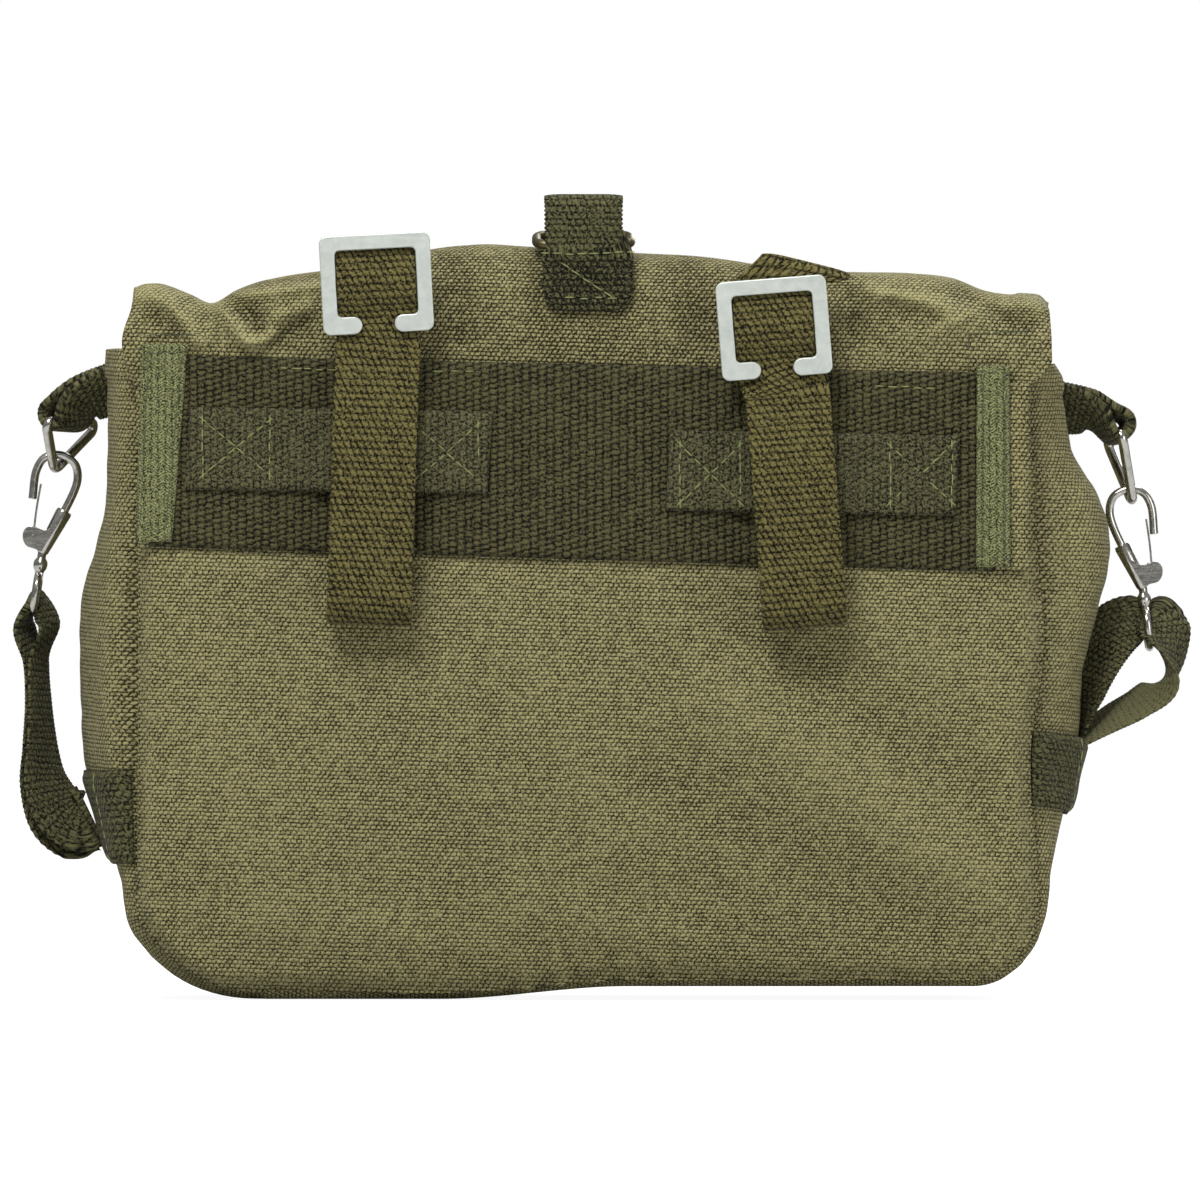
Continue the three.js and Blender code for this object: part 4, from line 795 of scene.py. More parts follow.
def webbing_piece(name, rows, thickness, closed, material, nodes, scallop=0.0, columns=10, bulk=1.0,
                  wear=None):
    """Webbing swept along a line; rows are x, y, z, width direction and width; bulk thickens it."""
    at = rows[:, :3]
    ring_count = len(rows)
    if closed:
        along = unit(np.roll(at, -1, axis=0) - np.roll(at, 1, axis=0))
        travelled = lengths(np.vstack([at, at[:1]]))
    else:
        along = unit(np.gradient(at, axis=0))
        travelled = lengths(at)
    across = rows[:, 3:6]
    across = unit(across - along * np.sum(across * along, axis=1, keepdims=True))
    normal = np.cross(along, across)
    share = np.sin(np.linspace(-math.pi / 2, math.pi / 2, columns + 1))
    half_thick = thickness / 2 * (1 - WEBBING_EDGE["thinner"] * np.abs(share) ** WEBBING_EDGE["power"])
    wave = np.sin(2 * math.pi * travelled[:ring_count] / WEBBING_EDGE["scallop_pitch"])
    half_wide = rows[:, 6] / 2 * (1 + scallop * wave * 2 / rows[:, 6])
    offset = share[None, :, None] * (half_wide[:, None, None] * across[:, None, :])
    thick = half_thick[None, :, None] * normal[:, None, :] * np.broadcast_to(bulk, ring_count)[:, None, None]
    top = at[:, None, :] + offset + thick
    low = (at[:, None, :] + offset - thick)[:, ::-1]
    rings = np.concatenate([top, low], axis=1)
    sides = rings.shape[1]
    u_top = share[None, :] * rows[:, 6:7] / 2
    u_ring = np.concatenate([u_top, u_top[:, ::-1]], axis=1)
    faces = ring_faces(ring_count, sides, closed)
    corner_uv = []
    for face in faces:
        ring = face[0] // sides
        ends = (ring, ring, ring + 1, ring + 1) if len(face) == 4 else (ring,) * sides
        corner_uv += [(u_ring.flat[corner], travelled[end]) for corner, end in zip(face, ends)]
    if wear is not None:
        wear = np.repeat(wear, sides)
    mesh = recalculated(new_mesh(name, rings.reshape(-1, 3), faces, corner_uv, wear))
    return show(mesh, material, nodes, BAG)


def tube(points, radius, closed, sides=16, plane=Y_AXIS):
    """Points and faces of a round wire along a line, with its first side in a plane."""
    points = np.asarray(points, float)
    count = len(points)
    if closed:
        along = unit(np.roll(points, -1, axis=0) - np.roll(points, 1, axis=0))
    else:
        along = unit(np.gradient(points, axis=0))
    side = unit(plane - along * np.sum(plane * along, axis=1, keepdims=True))
    out = np.cross(along, side)
    turn = np.linspace(0, 2 * math.pi, sides, endpoint=False)
    thick = np.broadcast_to(np.asarray(radius, float), (count,))[:, None, None]
    rings = points[:, None, :] + thick * (
        np.cos(turn)[None, :, None] * side[:, None, :] + np.sin(turn)[None, :, None] * out[:, None, :])
    return rings.reshape(-1, 3), ring_faces(count, sides, closed)


def prism(outline_points, low, high):
    """Points and faces of an outline in x and z, given depth along y."""
    count = len(outline_points)
    points = [(x, low, z) for x, z in outline_points] + [(x, high, z) for x, z in outline_points]
    faces = [tuple(range(count)), tuple(range(count, 2 * count))]
    faces += [(i, (i + 1) % count, count + (i + 1) % count, count + i) for i in range(count)]
    return np.asarray(points, float), faces


def gathered(shells):
    """Several shells as one list of points and faces."""
    points = []
    faces = []
    for shell_points, shell_faces in shells:
        start = sum(len(one) for one in points)
        points.append(np.asarray(shell_points, float))
        faces += [tuple(start + corner for corner in face) for face in shell_faces]
    return np.vstack(points), faces


def metal_piece(name, points, faces, material, nodes, body=BAG, bevel=0.0):
    """A hard piece with its edges rounded off."""
    mesh = recalculated(new_mesh(name, points, faces))
    piece = show(mesh, material, nodes, body)
    if bevel:
        rounding = piece.modifiers.new("rounded edges", "BEVEL")
        rounding.width = bevel * MM
        rounding.segments = BEVEL["segments"]
        rounding.limit_method = "ANGLE"
        rounding.angle_limit = math.radians(BEVEL["angle"])
        rounding.harden_normals = True
    return piece


# Shader groups and materials

def place(tree, kind, inputs=None, **settings):
    """A node with its settings, its values and its links."""
    node = tree.nodes.new(kind)
    for key, value in settings.items():
        setattr(node, key, value)
    for key, value in (inputs or {}).items():
        socket = node.inputs[key]
        if isinstance(value, bpy.types.NodeSocket):
            tree.links.new(value, socket)
        else:
            socket.default_value = value
    return node


def calc(tree, operation, first, second=0.0, clamp=False):
    """One step of arithmetic."""
    node = place(tree, "ShaderNodeMath", {0: first, 1: second}, operation=operation, use_clamp=clamp)
    return node.outputs[0]


def weigh(tree, value, amount, base):
    """The base, plus a value times an amount."""
    node = place(tree, "ShaderNodeMath", {0: value, 1: amount, 2: base}, operation="MULTIPLY_ADD")
    return node.outputs[0]


def tint(tree, share, low, high):
    """A colour between two others."""
    node = place(tree, "ShaderNodeMix", {0: share, 6: low, 7: high}, data_type="RGBA")
    return node.outputs[2]


def rgba(colour):
    return (colour[0], colour[1], colour[2], 1.0)


def group_tree(name, values, outputs):
    """A group that takes a place and named numbers, and puts out named numbers."""
    tree = bpy.data.node_groups.new(name, "ShaderNodeTree")
    tree.interface.new_socket("Vector", in_out="INPUT", socket_type="NodeSocketVector")
    for label, value in values.items():
        socket = tree.interface.new_socket(label, in_out="INPUT", socket_type="NodeSocketFloat")
        socket.default_value = value
    for label in outputs:
        tree.interface.new_socket(label, in_out="OUTPUT", socket_type="NodeSocketFloat")
    return tree, tree.nodes.new("NodeGroupInput"), tree.nodes.new("NodeGroupOutput")


def woven_threads():
    """Bumps of crossing threads laid like bricks, slanted or in chevrons."""
    name = "woven_threads"
    if name in bpy.data.node_groups:
        return bpy.data.node_groups[name]
    tree, given, result = group_tree(name, {
        "Across": 0.0012, "Along": 0.0009, "Shift": 0.5, "Step": 0.0, "Slant": 0.0, "Chevron": 0.0,
        "Jitter": 0.42, "Lean": 0.0,
    }, ("Height", "Thread"))
    vector = given.outputs["Vector"]
    wander = place(tree, "ShaderNodeTexNoise", {"Vector": vector, "Scale": 420.0, "Detail": 1.0})
    shaken = place(tree, "ShaderNodeSeparateXYZ", {0: wander.outputs["Color"]})
    apart = place(tree, "ShaderNodeSeparateXYZ", {0: vector})
    shake_u = calc(tree, "MULTIPLY", calc(tree, "SUBTRACT", shaken.outputs[0], 0.5), given.outputs["Jitter"])
    shake_v = calc(tree, "MULTIPLY", calc(tree, "SUBTRACT", shaken.outputs[1], 0.5), given.outputs["Jitter"])
    u = calc(tree, "ADD", calc(tree, "DIVIDE", apart.outputs[0], given.outputs["Across"]), shake_u)
    v = calc(tree, "ADD", calc(tree, "DIVIDE", apart.outputs[1], given.outputs["Along"]), shake_v)
    across_cell = calc(tree, "SUBTRACT", calc(tree, "FRACT", u), 0.5)
    odd_column = calc(tree, "FLOORED_MODULO", calc(tree, "FLOOR", u), 2.0)
    parity = weigh(tree, odd_column, 2.0, -1.0)
    zigzag = calc(tree, "MULTIPLY", across_cell, parity)
    lean = place(tree, "ShaderNodeMix", {0: given.outputs["Chevron"], 2: u, 3: zigzag}, data_type="FLOAT")
    slanted = calc(tree, "ADD", v, calc(tree, "MULTIPLY", lean.outputs[0], given.outputs["Slant"]))
    slanted = calc(tree, "ADD", slanted, calc(tree, "MULTIPLY", odd_column, given.outputs["Step"]))
    row = calc(tree, "FLOOR", slanted)
    odd = calc(tree, "FLOORED_MODULO", row, 2.0)
    shifted = calc(tree, "ADD", u, calc(tree, "MULTIPLY", odd, given.outputs["Shift"]))
    cell_u = weigh(tree, calc(tree, "FRACT", shifted), 2.0, -1.0)
    cell_v = weigh(tree, calc(tree, "FRACT", slanted), 2.0, -1.0)
    leaning = calc(tree, "ADD", cell_u, calc(tree, "MULTIPLY", cell_v, given.outputs["Lean"]))
    round_u = calc(tree, "SUBTRACT", 1.0, calc(tree, "MULTIPLY", leaning, leaning), clamp=True)
    round_v = calc(tree, "SUBTRACT", 1.0, calc(tree, "MULTIPLY", cell_v, cell_v))
    height = calc(tree, "POWER", calc(tree, "MULTIPLY", round_u, round_v), 0.9)
    cell = place(tree, "ShaderNodeCombineXYZ", {0: calc(tree, "FLOOR", shifted), 1: row})
    lot = place(tree, "ShaderNodeTexWhiteNoise", {"Vector": cell.outputs[0]}, noise_dimensions="2D")
    tree.links.new(height, result.inputs["Height"])
    tree.links.new(lot.outputs["Value"], result.inputs["Thread"])
    return tree


def fibre_fuzz():
    """Fine fibres and soft worn and dusty patches."""
    name = "fibre_fuzz"
    if name in bpy.data.node_groups:
        return bpy.data.node_groups[name]
    sizes = {"Fibre Scale": 1350.0, "Patch Scale": 22.0}
    tree, given, result = group_tree(name, sizes, ("Fibre", "Patch", "Streak"))
    vector = given.outputs["Vector"]
    fine = place(tree, "ShaderNodeTexNoise", {
        "Vector": vector, "Scale": given.outputs["Fibre Scale"], "Detail": 2.0, "Roughness": 0.7})
    broad = place(tree, "ShaderNodeTexNoise", {
        "Vector": vector, "Scale": given.outputs["Patch Scale"], "Detail": 4.0, "Roughness": 0.6})
    stretched = place(tree, "ShaderNodeMapping", {"Vector": vector, "Scale": (0.05, 1.0, 1.0)})
    lines = place(tree, "ShaderNodeTexNoise", {
        "Vector": stretched.outputs[0], "Scale": 620.0, "Detail": 2.0, "Roughness": 0.5})
    tree.links.new(fine.outputs[0], result.inputs["Fibre"])
    tree.links.new(broad.outputs[0], result.inputs["Patch"])
    tree.links.new(lines.outputs[0], result.inputs["Streak"])
    return tree


def worn_metal():
    """Scratches and dull spots of handled metal."""
    name = "worn_metal"
    if name in bpy.data.node_groups:
        return bpy.data.node_groups[name]
    sizes = {"Spot Scale": 260.0, "Scratch Scale": 900.0}
    tree, given, result = group_tree(name, sizes, ("Spots", "Scratches"))
    vector = given.outputs["Vector"]
    spots = place(tree, "ShaderNodeTexNoise", {
        "Vector": vector, "Scale": given.outputs["Spot Scale"], "Detail": 5.0, "Roughness": 0.65})
    brushed = place(tree, "ShaderNodeMapping", {
        "Vector": vector, "Rotation": (0.0, 0.5, 0.0), "Scale": (0.06, 1.0, 1.0)})
    scratches = place(tree, "ShaderNodeTexNoise", {
        "Vector": brushed.outputs[0], "Scale": given.outputs["Scratch Scale"],
        "Detail": 3.0, "Roughness": 0.6})
    tree.links.new(spots.outputs[0], result.inputs["Spots"])
    tree.links.new(scratches.outputs[0], result.inputs["Scratches"])
    return tree


def new_material(name):
    """A material with its nodes and its shader."""
    material = bpy.data.materials.new(name)
    material.use_nodes = True
    tree = material.node_tree
    return material, tree, tree.nodes["Principled BSDF"]


def cloth_material(name, light, dark, weave, depth, nap, fibre, patch, streak, grain):
    """Woven cloth: raised threads over dark gaps, with fibres, streaks and faded patches."""
    if name in bpy.data.materials:
        return bpy.data.materials[name]
    material, tree, shader = new_material(name)
    uv = place(tree, "ShaderNodeUVMap", uv_map="UVMap").outputs[0]
    threads = place(tree, "ShaderNodeGroup", {"Vector": uv, **weave}, node_tree=woven_threads())
    fuzz = place(tree, "ShaderNodeGroup", {"Vector": uv, "Fibre Scale": grain}, node_tree=fibre_fuzz())
    height = threads.outputs["Height"]
    share = weigh(tree, height, CLOTH_SHADE["height"] * (1 - nap), CLOTH_SHADE["nap"] * nap)
    uneven_threads = CLOTH_SHADE["thread"] * (1 - CLOTH_SHADE["thread_under_nap"] * nap)
    for value, amount in (
            (threads.outputs["Thread"], uneven_threads), (fuzz.outputs["Fibre"], fibre),
            (fuzz.outputs["Streak"], streak), (fuzz.outputs["Patch"], patch)):
        share = weigh(tree, calc(tree, "SUBTRACT", value, 0.5), amount, share)
    # Painted light and shade from the mesh lighten or darken the cloth's colour
    wear = place(tree, "ShaderNodeAttribute", attribute_name="wear").outputs["Fac"]
    share = weigh(tree, wear, CLOTH_SHADE["wear"], share)
    share = calc(tree, "ADD", share, 0.0, clamp=True)
    tree.links.new(tint(tree, share, rgba(dark), rgba(light)), shader.inputs["Base Color"])
    rough = weigh(tree, fuzz.outputs["Fibre"], CLOTH_ROUGH["fibre"], CLOTH_ROUGH["least"])
    tree.links.new(rough, shader.inputs["Roughness"])
    flattened = calc(tree, "MULTIPLY", height, 1 - CLOTH_RELIEF["nap"] * nap)
    fluffy = CLOTH_RELIEF["fibre"] + CLOTH_RELIEF["nap"] * nap
    relief = weigh(tree, fuzz.outputs["Fibre"], fluffy, flattened)
    bump = place(tree, "ShaderNodeBump", {"Strength": 1.0, "Distance": depth, "Height": relief})
    tree.links.new(bump.outputs[0], shader.inputs["Normal"])
    shader.inputs["Specular IOR Level"].default_value = 0.1
    shader.inputs["Sheen Weight"].default_value = 0.04
    shader.inputs["Sheen Roughness"].default_value = 0.5
    return material


def metal_material(name, colour, rough, spots, stain, metallic):
    """Handled metal with scratches and dull spots."""
    if name in bpy.data.materials:
        return bpy.data.materials[name]
    material, tree, shader = new_material(name)
    where = place(tree, "ShaderNodeTexCoord").outputs["Object"]
    wear = place(tree, "ShaderNodeGroup", {"Vector": where, "Spot Scale": spots}, node_tree=worn_metal())
    clean = place(tree, "ShaderNodeMapRange", {
        "Value": wear.outputs["Spots"], "From Min": 0.36, "From Max": 0.68}).outputs[0]
    shadow = tuple(part * (1 - stain) for part in colour)
    tree.links.new(tint(tree, clean, rgba(shadow), rgba(colour)), shader.inputs["Base Color"])
    dull = place(tree, "ShaderNodeMapRange", {
        "Value": wear.outputs["Scratches"], "From Min": 0.3, "From Max": 0.7,
        "To Min": rough[0], "To Max": rough[1]}).outputs[0]
    tree.links.new(dull, shader.inputs["Roughness"])
    relief = weigh(tree, wear.outputs["Scratches"], 0.5, wear.outputs["Spots"])
    bump = place(tree, "ShaderNodeBump", {"Strength": 0.35, "Distance": 0.00012, "Height": relief})
    tree.links.new(bump.outputs[0], shader.inputs["Normal"])
    shader.inputs["Metallic"].default_value = metallic
    return material


def thread_material(name, colour):
    """Twisted sewing thread."""
    if name in bpy.data.materials:
        return bpy.data.materials[name]
    material, tree, shader = new_material(name)
    where = place(tree, "ShaderNodeTexCoord").outputs["Object"]
    fuzz = place(tree, "ShaderNodeGroup", {"Vector": where, "Fibre Scale": 4200.0}, node_tree=fibre_fuzz())
    dark = tuple(part * 0.5 for part in colour)
    colour_out = tint(tree, fuzz.outputs["Fibre"], rgba(dark), rgba(colour))
    tree.links.new(colour_out, shader.inputs["Base Color"])
    shader.inputs["Roughness"].default_value = 0.7
    shader.inputs["Sheen Weight"].default_value = 0.2
    return material


def finishes():
    """Every finish of the bag, by its plain name."""
    colours = bpy.context.scene.bag_colours
    sizes = bpy.context.scene.bag_sizes
    canvas_threads = {"Across": sizes.weave_across, "Along": sizes.weave_along}
    looks = {}
    for key, cloth in CLOTHS.items():
        values = {**cloth, "weave": {**canvas_threads, **cloth["weave"]}}
        light, dark = getattr(colours, f"{key}_light"), getattr(colours, f"{key}_dark")
        looks[key] = cloth_material(light=light, dark=dark, **values)
    for key, name in THREADS.items():
        looks[key] = thread_material(name, getattr(colours, key))
    for key, metal in METALS.items():
        looks[key] = metal_material(colour=getattr(colours, key), **metal)
    return looks


# Canvas body

def panel_edge(side, heights):
    """The side edge of a wall, drawn in as far as the seam's valley."""
    x, _ = outline(side, heights, PANEL_ROLL)
    return x - SIGN[side] * np.maximum(read(VALLEY_ROWS, heights, COLUMN[side]) - PANEL_ROLL, 0)


def panel_grid(top, depth_at, wall_steps, columns):
    """Places on a wall, and how far each lies from the nearest seam."""
    heights = side_heights(top, PANEL_ROLL, wall_steps)
    left = panel_edge("left", heights)[:, None]
    right = panel_edge("right", heights)[:, None]
    x = mix(left, right, crowded(columns + 1, CROWD["wall"])[None, :])
    height = np.broadcast_to(heights[:, None], x.shape)
    z = height + bottom_lift(x, height)
    rim = np.minimum(np.minimum(x - left, right - x), height - PANEL_ROLL)
    return x, depth_at(x, z), z, rim


def make_back_panel(material, columns):
    x, y, z, rim = panel_grid(PANEL_BEHIND_FLAP, back_depth, BACK_STEPS, columns)
    settled = smoothstep(rim, 0, SETTLE)
    folds = fold_rise(PANEL_FOLDS, x, z) * settled
    wave = np.sin(2 * math.pi * (x + PUCKER["slant"] * z) / PUCKER["pitch"]) * np.exp(-rim / PUCKER["reach"])
    pucker = PUCKER["rise"] * wave * smoothstep(x, *PUCKER["start"]) * (1 - smoothstep(x, *PUCKER["end"]))
    low_middle = smoothstep(x, *SHALLOW_SEAM["across"]) * (1 - smoothstep(z, *SHALLOW_SEAM["up"]))
    shallow = 1 - SHALLOW_SEAM["share"] * low_middle
    seam = SEAM_DEPTH * shallow * bell(rim, SEAM_REACH)
    tuck = UNDER_FLAP["depth"] * smoothstep(z, PANEL_TOP - UNDER_FLAP["start"], PANEL_TOP - UNDER_FLAP["end"])
    raised = folds + unevenness(BACK_UNEVEN, x, z) * settled + pucker
    grid = np.stack([x, y - raised + seam + tuck, z], axis=-1)
    # Painted highlight on the seam's roll and painted shade in the seam's valley, both weaker where the seam
    # is shallow
    ridge = WALL_LIGHT_AND_SHADE["ridge"] * bell(rim - WALL_LIGHT_AND_SHADE["ridge_at"], WALL_LIGHT_AND_SHADE["ridge_width"])
    painted_shade = WALL_LIGHT_AND_SHADE["painted_shade"] * bell(rim, WALL_LIGHT_AND_SHADE["painted_shade_width"])
    # Folds and puckers painted lighter on their ridges and darker in their hollows
    wear = folds / WALL_LIGHT_AND_SHADE["fold"] + PUCKER["wear"] * pucker + shallow * (ridge - painted_shade)
    piece = canvas_sheet("back_wall", grid, x, z, material, ["back_panel"], wear)


def make_front_panel(material, columns):
    x, y, z, rim = panel_grid(FRONT_TOP, front_depth, FRONT_STEPS, columns // 2)
    uneven = unevenness(FRONT_UNEVEN, x, z) * smoothstep(rim, 0, SETTLE)
    seam = SEAM_DEPTH * bell(rim, SEAM_REACH)
    grid = np.stack([x, y + np.minimum(uneven, FRONT_MOST_OUT) - seam, z], axis=-1)
    piece = canvas_sheet("front_wall", grid, x, z, material, ["front_panel"])


def gusset_strip(share):
    """The strip down the left side, along the bottom and up the right side."""
    left_heights = side_heights(GUSSET_TOP["left"], 0, GUSSET_STEPS)[::-1]
    right_heights = side_heights(GUSSET_TOP["right"], 0, GUSSET_STEPS)
    left_end, _ = outline("left", np.array(0.0), 0)
    right_end, _ = outline("right", np.array(0.0), 0)
    bottom_x = np.linspace(left_end, right_end, BOTTOM_STEPS)[1:-1]
    shares = share[None, :]
    left = gusset_point("left", left_heights[:, None], shares)
    right = gusset_point("right", right_heights[:, None], shares)
    y = np.broadcast_to(mix(-GUSSET_EDGE, GUSSET_EDGE, shares), (len(bottom_x), share.size))
    x = np.broadcast_to(bottom_x[:, None], y.shape)
    roll = seam_roll(PANEL_ROLL, shares)
    bottom = np.stack([x, y + seam_pull(roll, shares), bottom_lift(x, 0.0) + roll], axis=-1)
    return np.concatenate([left, bottom, right], axis=0)


def make_gusset(material):
    share = crowded(GUSSET_COLUMNS, CROWD["gusset"])
    grid = gusset_strip(share)
    normals = outward_normals(grid)
    height = grid[..., 2]
    along = lengths(grid[:, share.size // 2])
    u = np.broadcast_to(along[:, None], height.shape)
    v = np.broadcast_to(share[None, :] * 2 * GUSSET_EDGE, height.shape)
    edge = np.minimum(share, 1 - share) * 2 * GUSSET_EDGE
    wall = unevenness(GUSSET_UNEVEN, u, v) * smoothstep(edge, *GUSSET_EDGE_FADE)[None, :]
    wave = np.sin(2 * math.pi * u / GUSSET_CRUSH["pitch"]) * bell(edge, GUSSET_CRUSH["reach"])
    crush = GUSSET_CRUSH["rise"] * wave * (1 - smoothstep(height, *GUSSET_CRUSH["fade"]))
    hem = GUSSET_HEM["rise"] * smoothstep(np.minimum(u, along[-1] - u), *GUSSET_HEM["fade"])
    lift = (wall + crush + hem) * smoothstep(height, *GUSSET_OFF_GROUND)
    grid = grid + normals * lift[..., None]
    # Painted lighter from a little above the ground up, with painted shade in the seam's valley at both edges
    painted_tone = GUSSET_SHADE_AND_TONE["painted_tone"] - GUSSET_SHADE_AND_TONE["painted_shade"] * bell(edge, GUSSET_SHADE_AND_TONE["painted_shade_width"])
    wear = painted_tone[None, :] * smoothstep(grid[..., 2], *GUSSET_SHADE_AND_TONE["up"])
    piece = canvas_sheet("gusset_cloth", grid, v, u, material, ["gusset"], wear)


# Flap

def flap_half_width(side, z):
    """How far the flap reaches to one side at a height."""
    return read(SEAM_ROWS, np.minimum(z, FLAP_WIDTH_TOP), COLUMN[side]) - PANEL_RIM


def flap_section(x, count):
    """The flap's line from the back seam over the top and down the front: depth and height."""
    crest = float(read(CREST_ROWS, x))
    for side in SIDES:
        from_end = float(flap_half_width(side, FLAP_WIDTH_TOP) - SIGN[side] * x)
        crest -= FLAP_END_DROP[side] * float(bell(from_end, FLAP_END_DROP["reach"]))
    line = [(back_depth(x, z), z) for z in (PANEL_TOP + GAP, FLAP_BACK_MIDDLE)]
    line += [(depth, crest - drop) for depth, drop in FLAP_TOP_ROWS]
    for z in (crest - FLAP_FRONT_DROP, FLAP_FRONT_MIDDLE, FLAP_END):
        line.append((front_depth(x, z) + CANVAS + 2 * GAP, z))
    fine = smooth_line(line, FINE_STEPS["flap"])
    travelled = lengths(fine)
    rows, shares = np.transpose(FLAP_STEPS)
    goal = np.interp(np.linspace(0, 1, count), rows, shares) * travelled[-1]
    return np.stack([np.interp(goal, travelled, column) for column in fine.T], axis=1)


def flap_out(x, z):
    """How far folds lift the back of the flap."""
    rise = fold_rise(FLAP_FOLDS, x, z, FLAP_FOLD["power"])
    return FLAP_FOLD["gain"] * rise * smoothstep(z, *FLAP_FOLD["up"])


def flap_grid(share):
    """Places on the flap before its folds, and the distance along it."""
    start = -flap_half_width("left", FLAP_WIDTH_TOP)
    end = flap_half_width("right", FLAP_WIDTH_TOP)
    sections = np.stack([flap_section(x, FLAP_ROWS) for x in mix(start, end, share)])
    y, z = sections[..., 0], sections[..., 1]
    drawn_in = (y < 0) * (1 - smoothstep(z, FLAP_CORNER["low"], FLAP_CORNER["top"]))
    flare = FLAP_CORNER["flare"] * (y < 0) * bell(z - FLAP_CORNER["flare_z"], FLAP_FLARE_REACH)
    left = flap_half_width("left", z) - FLAP_CORNER["left"] * drawn_in + flare
    right = flap_half_width("right", z) - FLAP_CORNER["right"] * drawn_in
    travelled = np.stack([lengths(section) for section in sections])
    return mix(-left, right, share[:, None]), y, z, travelled, float(end - start)


def make_flap(material, columns):
    share = crowded(columns + 1, CROWD["flap"])
    x, y, z, travelled, width = flap_grid(share)
    grid = np.stack([x, y, z], axis=-1)
    normals = outward_normals(grid)
    behind = 1 - smoothstep(y, *FLAP_BACK)
    front = smoothstep(y, *FLAP_FRONT)
    uneven = unevenness(FLAP_UNEVEN, x, travelled) * np.maximum(smoothstep(z, *FLAP_ABOVE_BAND), front)
    low = 1 - smoothstep(z, FLAP_END, FLAP_END + FLAP_DRAPE["height"])
    wave = np.sin(2 * math.pi * (x + FLAP_DRAPE["shift"]) / FLAP_DRAPE["pitch"])
    drape = np.maximum(FLAP_DRAPE["rise"] * wave * low * front, FLAP_DRAPE["least"])
    hem = FLAP_HEM["rise"] * smoothstep(travelled[:, -1:] - travelled, *FLAP_HEM["fade"])
    edge = np.minimum(share, 1 - share)[:, None] * width
    side_hem = FLAP_SIDE_HEM["rise"] * smoothstep(edge, *FLAP_SIDE_HEM["fade"])
    side_hem = side_hem * np.maximum(front, smoothstep(y, *FLAP_SIDE_HEM["over"]))
    grid = grid + normals * (uneven + drape + np.maximum(hem, side_hem))[..., None]
    folds = flap_out(x, z) * behind
    grid[..., 1] -= folds
    crest = read(CREST_ROWS, x)
    # Painted highlight towards the crest, painted shade across the middle of the back, and folds painted
    # lighter on their ridges and darker in their hollows
    painted_tone = FLAP_LIGHT_AND_SHADE["crest"] * smoothstep(z, crest - FLAP_LIGHT_AND_SHADE["crest_reach"], crest)
    painted_shade = FLAP_LIGHT_AND_SHADE["painted_shade"] * behind * bell(x, FLAP_LIGHT_AND_SHADE["painted_shade_width"])
    wear = folds / FLAP_FOLD["wear"] + painted_tone - painted_shade
    piece = canvas_sheet("flap_cloth", grid, x, travelled, material, ["flap"], wear)


def make_flap_lap(material):
    """The flap's edge that goes on down beside the right tape."""
    u, v = np.meshgrid(*(np.linspace(0, 1, steps) for steps in LAP_STEPS))
    x = mix(FLAP_LAP["inner"], FLAP_LAP["outer"], u)
    z = mix(FLAP_LAP["low"], FLAP_LAP["top"], v)
    near_edge = FLAP_LAP["outer"] - x
    groove = LAP_ROLL["groove"] * bell(near_edge - LAP_ROLL["groove_at"], LAP_ROLL["groove_width"])
    roll = LAP_ROLL["edge"] * bell(near_edge, LAP_ROLL["edge_width"]) - groove
    y = back_depth(x, z) - GAP - CANVAS + roll - unevenness(LAP_UNEVEN, x, z)
    canvas_sheet("flap_lap", np.stack([x, y, z], axis=-1), x, z, material, [])


# Pieces sewn on the back

def patch_piece(name, corners, stand_off, thickness, columns, rows, material, node, sway):
    """A patch over the back; corners gives x and z for shares across and up."""
    u, v = np.meshgrid(np.linspace(0, 1, columns + 1), np.linspace(0, 1, rows + 1))
    x, z = corners(u, v)
    uneven = sway * ripple(x, z, PATCH_BUMPS, PATCH_SEED)
    rim = np.minimum(np.minimum(u, 1 - u) * np.ptp(x), np.minimum(v, 1 - v) * np.ptp(z))
    worn_edge = thickness * PATCH_RIM["share"] * bell(rim, PATCH_RIM["width"])
    y = back_depth(x, z) - stand_off(x) - thickness - uneven + worn_edge
    grid = np.stack([x, y, z], axis=-1)
    return sheet_piece(name, grid, np.stack([x, z], axis=-1), material, thickness, [node])


def band_corners(u, v):
    low = mix(BAND["low_left"], BAND["low_right"], u)
    top = mix(BAND["top_left"], BAND["top_right"], u)
    return mix(BAND["left"], BAND["right"], u), mix(low, top, v)


def tape_corners(side):
    tape = END_TAPES[side]

    def corners(u, v):
        inner = mix(tape["low_in"], tape["top_in"], v)
        outer = mix(tape["low_out"], tape["top_out"], v)
        return mix(inner, outer, u), mix(tape["low"], tape["top"], v)
    return corners


def keeper_corners(side):
    keeper = KEEPERS[side]

    def corners(u, v):
        x = mix(keeper["start"], keeper["end"], u) + keeper["slope"] * (1 - v)
        return x, mix(keeper["top_start"], keeper["top_end"], u) - keeper["height"] * (1 - v)
    return corners


def strap_axis(strap, z):
    """Where a belt strap's middle lies at a height, how it leans, and how much it follows the back."""
    by_hook = smoothstep(z, strap["hook_z"] - STRAP_TURN["below"], strap["hook_z"] + STRAP_TURN["above"])
    lean = math.radians(strap["lean"])
    tilt = math.radians(strap["tilt"])
    strap_x = strap["x"] + (z - strap["low"]) * math.tan(lean)
    hook_x = strap["hook_x"] + (z - strap["hook_z"]) * math.tan(tilt)
    on_bag = 1 - smoothstep(z, strap["hook_z"] - STRAP_TURN["off"], strap["hook_z"])
    return mix(strap_x, hook_x, by_hook), mix(lean, tilt, by_hook), on_bag


